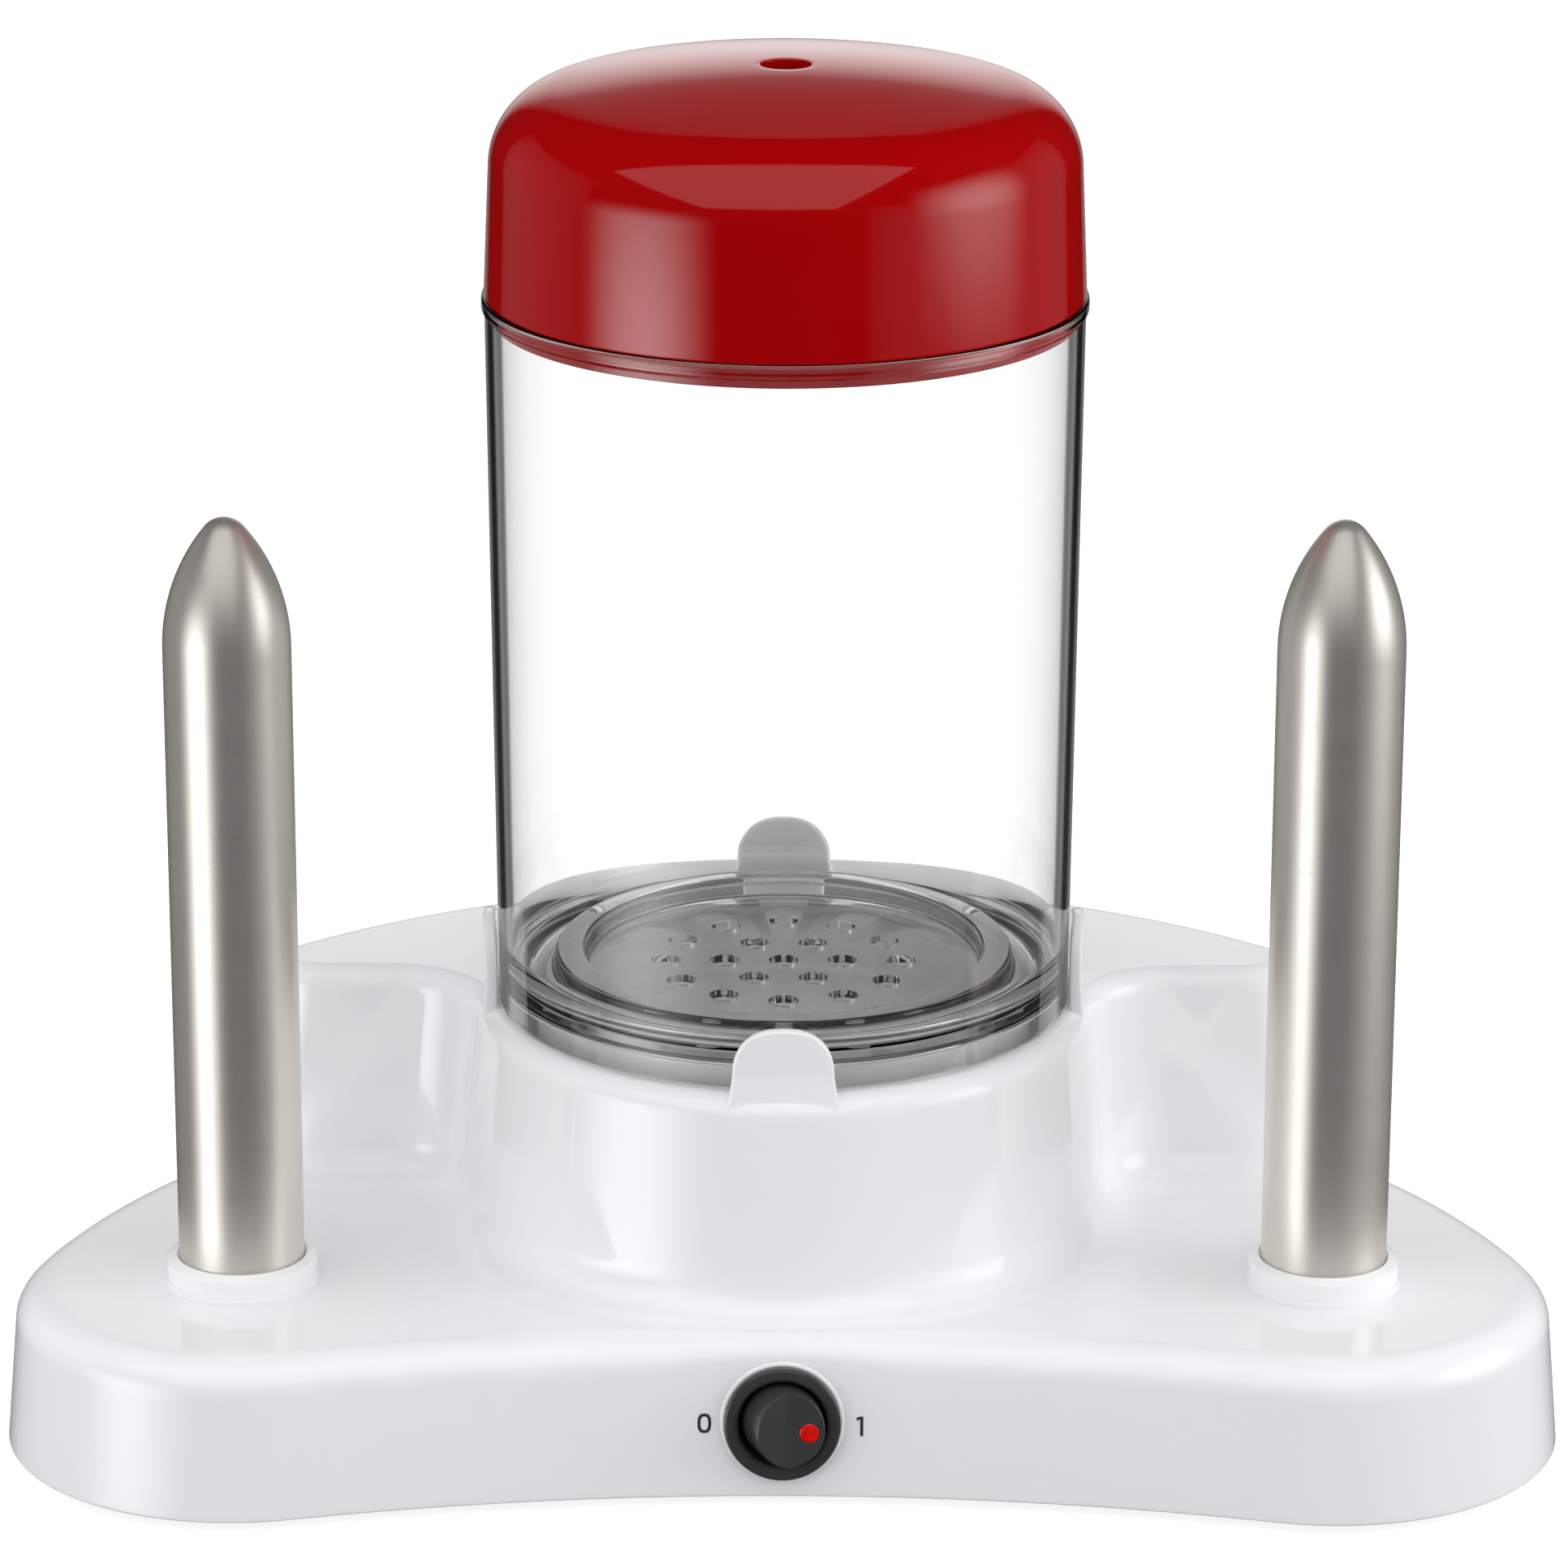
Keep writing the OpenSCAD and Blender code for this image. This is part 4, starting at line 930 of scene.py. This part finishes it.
# %% Shell
turning_points = [
    -math.pi / 2,
    bearing(lobe + lobe_r * (waist - lobe).normalized()),
    bearing(lobe + lobe_r * (lobe - rear).normalized()),
    bearing(Vector((flare.x, shoulder_front))),
    bearing(shoulder_end + shoulder_end_r * (shoulder_end - rear).normalized()),
    math.pi / 2,
]
columns_between = (40, 90, 50, 60, 40)
right_bearings = [
    start + (end - start) * k / count
    for start, end, count in zip(turning_points, turning_points[1:], columns_between)
    for k in range(count)
]
left_bearings = [math.pi - a for a in right_bearings[:0:-1]]
all_bearings = right_bearings + [math.pi / 2] + left_bearings
shell = add_piece(
    "white_shell", loft([shell_column(a) for a in all_bearings]), "white_gloss", "base",
    ["base_housing"], on_jar_axis,
)

# %% [markdown]
# ## Tabs on the shell
# Four upright tabs with round tops, the front one lower, stand on the tower's edge and keep the jar in
# its place. Each is drawn as a flat plate with soft edges, row by row from its foot to its round top, and
# then bent to the radius of the jar's foot. Towards its foot it grows wider and thicker, so that it runs
# into the tower's round edge. The tabs are joined to the shell with a boolean, because on the real
# machine they are one moulding.

# %% Tabs
tab_w = 20
tab_h = 14
side_tab_h = 17.5
tab_t = 2.3
tab_gap = 0.9
tab_sink = 3
tab_edge_r = 0.7
tab_flare = 1
tab_toe = 0.9
tab_squareness = 2.4
tab_edge_steps = 4
tab_inner_r = jar_foot_r + tab_gap


def squarish(share, squareness):
    """Cosine or sine of a form between a circle, at squareness 2, and a box."""
    return math.copysign(abs(share) ** (2 / squareness), share)


def tab_rows(high, draw_in, steps=8):
    """Half width, height and toe of each row of a tab whose outline is drawn in."""
    half = tab_w / 2 - draw_in
    crown = high - tab_w / 2
    below = [1 - k / steps for k in range(steps)]
    foot = [(half + tab_flare * b, crown - (crown + tab_sink) * b, tab_toe * b) for b in below]
    arch = []
    for k in range(2 * steps + 1):
        q = math.pi / 2 * k / (2 * steps)
        across, up = squarish(math.cos(q), tab_squareness), squarish(math.sin(q), tab_squareness)
        arch.append((half * across, crown + half * up, 0))
    return foot + arch


def tab_layer(high, draw_in, depth):
    """Rim of one layer of a tab, up its left side and down its right side, bent round the jar."""
    rows = tab_rows(high, draw_in)
    rim = [(-w, z, toe) for w, z, toe in rows] + [(w, z, toe) for w, z, toe in rows[::-1]]
    layer = []
    for w, z, toe in rim:
        turn = w / (tab_inner_r + tab_t / 2)
        radius = tab_inner_r + depth * (1 + toe / tab_t)
        layer.append((radius * math.sin(turn), -radius * math.cos(turn), seat_h + z))
    return layer


def tab(high):
    """One tab at the front, closed on both faces by strips from its left side to its right."""
    softening = [math.pi / 2 * k / tab_edge_steps for k in range(tab_edge_steps + 1)]
    edge = [(tab_edge_r * (1 - math.sin(q)), tab_edge_r * (1 - math.cos(q))) for q in softening]
    inner = [tab_layer(high, draw_in, depth) for draw_in, depth in edge]
    outer = [tab_layer(high, draw_in, tab_t - depth) for draw_in, depth in edge[::-1]]
    shape, rims = walled(inner + outer, all_round=False)
    count = len(rims[0])
    for rim in (rims[0], rims[-1]):
        for j in range(count // 2 - 1):
            shape.faces.new((rim[j], rim[j + 1], rim[count - 2 - j], rim[count - 1 - j]))
    return sealed(shape)


tab_heights = (tab_h, side_tab_h, side_tab_h, side_tab_h)
tabs = [(tab(high), Matrix.Rotation(math.pi / 2 * k, 4, "Z")) for k, high in enumerate(tab_heights)]
combine(shell, gathered(tabs), "UNION")

# %% [markdown]
# ## A pad and holes in the shell
# The wall at the waist is hollow, so a round flange would not lie flat on it: a low round pad is moulded
# there, and its soft edge catches the light above the switch. The spikes come up through the deck, the
# switch goes through the pad and the cord's gland into the rear wall. Rods cut these holes. The gland's
# drill is stepped, so that it also mills a shallow flat for the flange.

# %% Pad and holes
spike_r = 12.5
collar_wall = 2.5
collar_r = spike_r + collar_wall
barrel_r = 10
bezel_r = 11.5
pad_margin = 0.7
pad_r = bezel_r + pad_margin
pad_edge_r = 0.45
pad_proud = 0.3
pad_rise = pad_proud + waist_r - math.sqrt(waist_r ** 2 - pad_r ** 2)
slip = 0.1
switch_h = 17.9
gland_h = 15
gland_r = 5.5
gland_flange_r = 7.5
gland_face = 0.25
drill = 10

tip_out = math.pi / 2 - math.atan(base_lean)
on_front = at(0, waist_y + base_inset(switch_h), switch_h) @ Matrix.Rotation(tip_out, 4, "X")
at_switch = on_front @ at(0, 0, pad_rise)
at_gland = at(0, rear_y - base_inset(gland_h), gland_h) @ Matrix.Rotation(-tip_out, 4, "X")
pad_back = -pad_rise - wall / 2
pad_outline = rounded([(0, pad_back), (pad_r, pad_back), (pad_r, 0, pad_edge_r), (0, 0)])
pad = turned(pad_outline, segments=192)
pad.transform(at_switch)
combine(shell, pad, "UNION")

narrow_r = gland_r + slip
wide_r = gland_flange_r + slip
drill_outline = [(0, -drill), (narrow_r, -drill), (narrow_r, -gland_face), (wide_r, -gland_face)]
drill_outline += [(wide_r, wall), (0, wall)]
drills = [
    (rod(collar_r, -drill, wall, segments=96), at(side * lobe.x, lobe.y, deck_h))
    for side in (-1, 1)
]
drills.append((rod(barrel_r + slip, -drill, wall, segments=96), at_switch))
drills.append((turned(drill_outline, segments=96), at_gland))
combine(shell, gathered(drills), "DIFFERENCE")

# %% [markdown]
# ## The clear jar
# The jar leans out a little towards its rim, which has a small bead. Its floor sits above the foot, with
# a raised ring and holes that let the steam in. It is one turned outline. A clear piece needs a true
# inside wall, because the light bends at every surface, so the outline goes all the way round the wall.
# Lamps should reach what is inside, so the jar throws no shadow.

# %% Jar
jar_rim_r = (jar_high.x - jar_low.x) / 2
jar_h = jar_high.z - jar_low.z
jar_wall = 1.6
jar_corner_r = 8
bead_h = 3
bead_out = 0.6
jar_floor = 7
jar_lean = (jar_rim_r - bead_out - jar_foot_r) / jar_h
ring_outer_r = 47
ring_inner_r = 40
ring_rise = 3.5
ring_slope = 0.5
ring_foot_r = 0.8
ring_top_r = 1.2
foot_in_r = 0.5
foot_out_r = 0.7
floor_under_r = 1
bead_foot_r = 0.5
bead_low_r = 0.4
rim_r = 0.8


def jar_r(z):
    """Outer radius of the jar's wall at a height."""
    return jar_foot_r + jar_lean * z


jar_outline = rounded([
    (jar_r(0) - jar_wall, 0, foot_in_r),
    (jar_r(0), 0, foot_out_r),
    (jar_r(jar_h - bead_h), jar_h - bead_h, bead_foot_r),
    (jar_rim_r, jar_h - bead_h + bead_out, bead_low_r),
    (jar_rim_r, jar_h, rim_r),
    (jar_r(jar_h) - jar_wall, jar_h, rim_r),
    (jar_r(jar_floor) - jar_wall, jar_floor, jar_corner_r),
    (ring_outer_r, jar_floor, ring_foot_r),
    (ring_outer_r - ring_slope, jar_floor + ring_rise, ring_top_r),
    (ring_inner_r + ring_slope, jar_floor + ring_rise, ring_top_r),
    (ring_inner_r, jar_floor, ring_foot_r),
    (0, jar_floor),
    (0, jar_floor - jar_wall),
    (jar_r(jar_floor) - jar_wall, jar_floor - jar_wall, floor_under_r),
], steps=10)
jar = add_piece(
    "clear_jar", turned(jar_outline, segments=256), "clear_plastic", "jar", ["jar"],
    at(*jar_axis.xy, jar_low.z),
)
jar.visible_shadow = False

# %% Steam holes
steam_hole_r = 3
steam_pitch = 12
steam_ring_holes = (1, 6, 12)
steam_spots = [
    Matrix.Rotation(2 * math.pi * k / count, 4, "Z") @ at(ring * steam_pitch, 0, 0)
    for ring, count in enumerate(steam_ring_holes)
    for k in range(count)
]
punches = [(rod(steam_hole_r, 0, jar_floor + wall, segments=40), spot) for spot in steam_spots]
combine(jar, gathered(punches), "DIFFERENCE")

# %% [markdown]
# ## The red lid
# A straight side that leans in, a round shoulder and a shallow dome, each running into the next without a
# corner: that is why its reflections flow so smoothly. The shoulder's centre lies where its arc touches
# both the side and the dome, which takes one square root to find. A skirt hangs into the jar and keeps
# the lid in place.

# %% Curves of the lid
lid_low, lid_high = box_mm("lid")
lid_skirt_h = 5
lid_z = lid_low.z + lid_skirt_h
lid_h = lid_high.z - lid_z
lid_inset = 0.5
lid_draft = math.radians(2.5)
lid_shoulder_r = 16
lid_dome_r = 248
lid_wall = 2.2
vent_r = 5
lid_skirt_gap = 0.5
lid_bottom_r = jar_rim_r - lid_inset
dome_z = lid_h - lid_dome_r
lean_in = math.tan(lid_draft)
shoulder_start = lid_bottom_r - lid_shoulder_r / math.cos(lid_draft)
square = 1 + lean_in ** 2
slant = shoulder_start * lean_in + dome_z
rest = shoulder_start ** 2 + dome_z ** 2 - (lid_dome_r - lid_shoulder_r) ** 2
shoulder_z = (slant + math.sqrt(slant ** 2 - square * rest)) / square
shoulder = Vector((shoulder_start - lean_in * shoulder_z, shoulder_z))
dome_angle = math.atan2(shoulder.y - dome_z, shoulder.x)


def lid_skin(draw_in, steps=20):
    """Outer or inner side of the lid, from the top of its straight side to the edge of the vent."""
    dome_top = math.acos(vent_r / (lid_dome_r - draw_in))
    arcs = (
        (shoulder, lid_shoulder_r, lid_draft, dome_angle),
        (Vector((0, dome_z)), lid_dome_r, dome_angle, dome_top),
    )
    return along_arcs(arcs, draw_in, steps)


print("Shoulder of the lid in mm:", [round(v, 1) for v in shoulder])

# %% Lid
lid_edge_r = 0.6
vent_edge_r = 0.3
skirt_r = jar_rim_r - bead_out - jar_wall - lid_skirt_gap
skirt_in_r = skirt_r - lid_wall
web_r = lid_bottom_r - lid_wall / math.cos(lid_draft) - lid_wall * lean_in
outer_skin = lid_skin(0)
inner_skin = lid_skin(lid_wall)
lid_outline = rounded(
    [(lid_bottom_r, 0, lid_edge_r)] + outer_skin[:-1]
    + [(*outer_skin[-1], vent_edge_r), (*inner_skin[-1], vent_edge_r)] + inner_skin[-2::-1]
    + [(web_r, lid_wall, lid_edge_r), (skirt_in_r, lid_wall, lid_edge_r)]
    + [(skirt_in_r, -lid_skirt_h, lid_edge_r), (skirt_r, -lid_skirt_h, lid_edge_r), (skirt_r, 0)]
)
add_piece(
    "red_lid", turned(lid_outline, segments=256), "red_gloss", "lid", ["lid"], at(*jar_axis.xy, lid_z)
)

# %% [markdown]
# ## The water dish
# Under the jar sits a pressed steel dish with a rolled rim, seen as a grey band through the jar's foot.
# Sheet metal is bent, never sharp, so the corner at the bottom has a wide radius and the rim ends in a
# small bead.

# %% Dish
dish_low, dish_high = box_mm("boiler_dish")
dish_r = (dish_high.x - dish_low.x) / 2
dish_h = dish_high.z - dish_low.z
dish_t = 1
dish_corner_r = 4
bead_r = 1.2
bead_turn = math.radians(280)
bead_centre = Vector((dish_r - bead_r, dish_h - bead_r))
bead = along_arcs([(bead_centre, bead_r, 0, bead_turn)], draw_in=0, steps=20)
dish_in_r = dish_r - dish_t
dish_outline = rounded(
    [(0, 0), (dish_r, 0, dish_corner_r)] + bead
    + [(dish_in_r, dish_h - 2 * bead_r), (dish_in_r, dish_t, dish_corner_r - dish_t), (0, dish_t)]
)
add_piece(
    "steel_dish", turned(dish_outline), "pressed_steel", "base", ["boiler_dish"],
    at(*jar_axis.xy, dish_low.z),
)

# %% [markdown]
# ## Spikes and collars
# Each spike is a steel tube that closes in a long curve to a round nose. A white collar with a bevelled
# top and a fine groove round the spike holds it in the deck. Both are turned round the spike's own axis,
# and their objects stand there too: the brushed finish needs the axis of the piece to know which way is
# round.

# %% Spikes
spike_low, spike_high = box_mm("right_spike")
spike_len = spike_high.z - spike_low.z
spike_wall = 1
spike_tip_h = 26
spike_nose_r = 5
nose_rise = spike_tip_h - spike_nose_r
tip_r = (spike_r ** 2 + nose_rise ** 2 - spike_nose_r ** 2) / (2 * (spike_r - spike_nose_r))
nose_angle = math.atan2(nose_rise, tip_r - spike_r)


def spike_tip(draw_in, steps=14):
    """Side of the tip: a long arc that leaves the tube straight, then the round nose."""
    arcs = (
        (Vector((spike_r - tip_r, spike_len - spike_tip_h)), tip_r, 0, nose_angle),
        (Vector((0, spike_len - spike_nose_r)), spike_nose_r, nose_angle, math.pi / 2),
    )
    return along_arcs(arcs, draw_in, steps)


spike_outline = rounded(
    [(spike_r - spike_wall, 0), (spike_r, 0)] + spike_tip(0) + spike_tip(spike_wall)[::-1]
)
print("Spike length in mm:", round(spike_len, 1))

# %% Collars
collar_low, collar_high = box_mm("right_spike_collar")
collar_step_w = 0.4
collar_step_h = 1.2
collar_step_edge_r = 0.2
collar_bevel = 0.9
collar_bevel_edge_r = 0.3
collar_groove = 0.5
collar_crisp_r = 0.1
bore_fit = 0.05
collar_bore_r = spike_r + bore_fit
collar_sunk = deck_h - collar_low.z
collar_step_top = collar_sunk + collar_step_h
collar_top = collar_high.z - collar_low.z
collar_outline = rounded([
    (collar_bore_r, 0),
    (collar_r - slip, 0),
    (collar_r - slip, collar_sunk),
    (collar_r + collar_step_w, collar_sunk),
    (collar_r + collar_step_w, collar_step_top, collar_step_edge_r),
    (collar_r, collar_step_top, collar_crisp_r),
    (collar_r, collar_top - collar_bevel, collar_bevel_edge_r),
    (collar_bore_r + collar_groove, collar_top, collar_crisp_r),
    (collar_bore_r, collar_top - collar_groove),
])
for side_name in ("left", "right"):
    spot = middle(f"{side_name}_spike")
    add_piece(
        f"{side_name}_steel_spike", turned(spike_outline), "stainless", "base", [f"{side_name}_spike"],
        at(*spot.xy, spike_low.z),
    )
    add_piece(
        f"{side_name}_white_collar", turned(collar_outline), "white_gloss", "base",
        [f"{side_name}_spike_collar"], at(*spot.xy, collar_low.z),
    )

# %% [markdown]
# ## The switch
# A round rocker switch sits on the pad. Its body is turned: a bezel with a soft edge, a mouth that slopes
# in, a hollow for the rocker and a barrel behind the wall. The rocker tips in the hollow, so its sides
# lean in towards its face to stay clear of the mouth, and the face is a soft valley between two slopes.
# It is lofted from sections across it: each is as wide as the round plan allows at its place.

# %% Switch body
bezel_h = 2.2
bezel_mouth = 0.6
barrel_len = 14
cavity_r = 8.8
cavity_floor = -6
bezel_edge_r = 0.7
mouth_edge_r = 0.2
mouth_foot_r = 0.3
cavity_corner_r = 0.5
barrel_edge_r = 0.6
switch_place = on_jar_axis @ at_switch
body_outline = rounded([
    (0, -barrel_len),
    (barrel_r, -barrel_len, barrel_edge_r),
    (barrel_r, 0),
    (bezel_r, 0),
    (bezel_r, bezel_h, bezel_edge_r),
    (cavity_r + bezel_mouth, bezel_h, mouth_edge_r),
    (cavity_r, bezel_h - bezel_mouth, mouth_foot_r),
    (cavity_r, cavity_floor, cavity_corner_r),
    (0, cavity_floor),
])
add_piece(
    "switch_bezel", turned(body_outline, segments=128), "black_plastic", "base", ["switch_body"],
    switch_place,
)

# %% Rocker
rocker_r = 7.8
rocker_h = 6.5
rocker_back = -2.4
rocker_tilt = math.radians(13)
rocker_lean = math.radians(8)
rocker_edge_r = 0.35
rocker_back_edge_r = 0.5
rocker_steps = 64
rim_tries = 20
valley_r = 1.2
pivot_z = -1.2
face_slope = math.tan(rocker_tilt)
side_slope = math.tan(rocker_lean)
rocker_place = switch_place @ at(0, 0, pivot_z) @ Matrix.Rotation(rocker_tilt, 4, "Y")


def face_height(x):
    """Height of the face over the pivot: two slopes that meet in a soft valley."""
    return rocker_h + face_slope * math.hypot(x, valley_r)


def rocker_section(y, face_steps=8):
    """The rocker's outline at one height in its round plan, widest at the pivot."""
    half = math.sqrt(rocker_r ** 2 - y ** 2) / math.cos(rocker_lean)
    rim_z = rocker_h
    for _ in range(rim_tries):
        rim_x = max(0, half - side_slope * rim_z)
        rim_z = face_height(rim_x)
    back_x = half + side_slope * rocker_back
    face = [rim_x * (1 - k / face_steps) for k in range(1, face_steps)]
    back_corner = (back_x, rocker_back, min(rocker_back_edge_r, back_x / 2))
    rim_corner = (rim_x, rim_z, min(rocker_edge_r, rim_x / 2))
    right = [back_corner, (half, 0), rim_corner] + [(x, face_height(x)) for x in face]
    left = [(-x, *rest_of_corner) for x, *rest_of_corner in right[::-1]]
    outline = rounded(right + [(0, face_height(0))] + left)
    return [(point.x, y, point.y) for point in outline]


rocker_top = math.sqrt(rocker_r ** 2 - (math.sin(rocker_lean) * face_height(0)) ** 2)
rows = [rocker_top * math.sin(math.pi * (k / rocker_steps - 0.5)) for k in range(rocker_steps + 1)]
rocker_shape = loft([rocker_section(y) for y in rows], all_round=False)
rocker_piece = add_piece(
    "switch_rocker_cap", rocker_shape, "black_plastic", "rocker", ["switch_rocker"], rocker_place
)

# %% Lamp window
lens_r = 1.9
lens_spot = (3.8, -0.6)
lens_depth = 1.2
lens_rise = 0.3
pocket_fit = 0.05
on_rocker_face = at(0, 0, rocker_h) @ Matrix.Rotation(-rocker_tilt, 4, "Y") @ at(*lens_spot, 0)
pocket = rod(lens_r + pocket_fit, -lens_depth, lens_depth)
pocket.transform(on_rocker_face)
combine(rocker_piece, pocket, "DIFFERENCE")
lens_crown = [(lens_r * math.cos(q), lens_rise * math.sin(q)) for q in quarter]
lens_outline = [(0, -lens_depth), (lens_r, -lens_depth)] + lens_crown
add_piece(
    "lamp_window", turned(lens_outline, segments=64), "lamp_red", "rocker", ["switch_lamp_lens"],
    rocker_place @ on_rocker_face,
)

# %% [markdown]
# ## The marks beside the switch
# A plain 0 and 1 are printed on the wall beside the bezel. Print is a film of ink, so the marks are real
# but very thin meshes that follow the hollow wall: each point is drawn flat and then laid on the wall at
# its own place.

# %% Marks
mark_h = 4.0
mark_w = 2.7
mark_stroke = 0.6
mark_film = 0.06
mark_squareness = 2.6
mark_steps = 64
flag = 0.7
flag_drop = 0.25
zero_x = -15.3
one_x = 15.55
zero_drop = 0.3
one_drop = 0.85
zero_z = switch_h - zero_drop
one_z = switch_h - one_drop


def on_wall(x, z, lift):
    """A point on the waist's wall, lifted off it."""
    y = waist.y + math.sqrt((waist_r + base_inset(z)) ** 2 - x ** 2)
    return (x, y - lift, z)


def zero_mark():
    """An oval ring of ink."""
    turns = [2 * math.pi * k / mark_steps for k in range(mark_steps)]
    section = [(0, 0), (0, mark_film), (-mark_stroke, mark_film), (-mark_stroke, 0)]
    return loft([
        [
            on_wall(
                zero_x + (mark_w / 2 + grow) * squarish(math.cos(q), mark_squareness),
                zero_z + (mark_h / 2 + grow) * squarish(math.sin(q), mark_squareness),
                lift,
            )
            for grow, lift in section
        ]
        for q in turns
    ])


def one_mark():
    """An upright bar of ink with a small flag at its upper left."""
    left, right = -mark_stroke / 2, mark_stroke / 2
    top = mark_h / 2
    outline = [
        (right, -top), (right, top), (left, top), (left - flag, top - flag_drop),
        (left - flag, top - flag_drop - mark_stroke), (left, top - mark_stroke), (left, -top),
    ]
    faces = [[on_wall(one_x + x, one_z + z, lift) for x, z in outline] for lift in (0, mark_film)]
    return loft(faces, all_round=False)


add_piece("mark_zero", zero_mark(), "black_plastic", "base", (), on_jar_axis)
add_piece("mark_one", one_mark(), "black_plastic", "base", (), on_jar_axis)
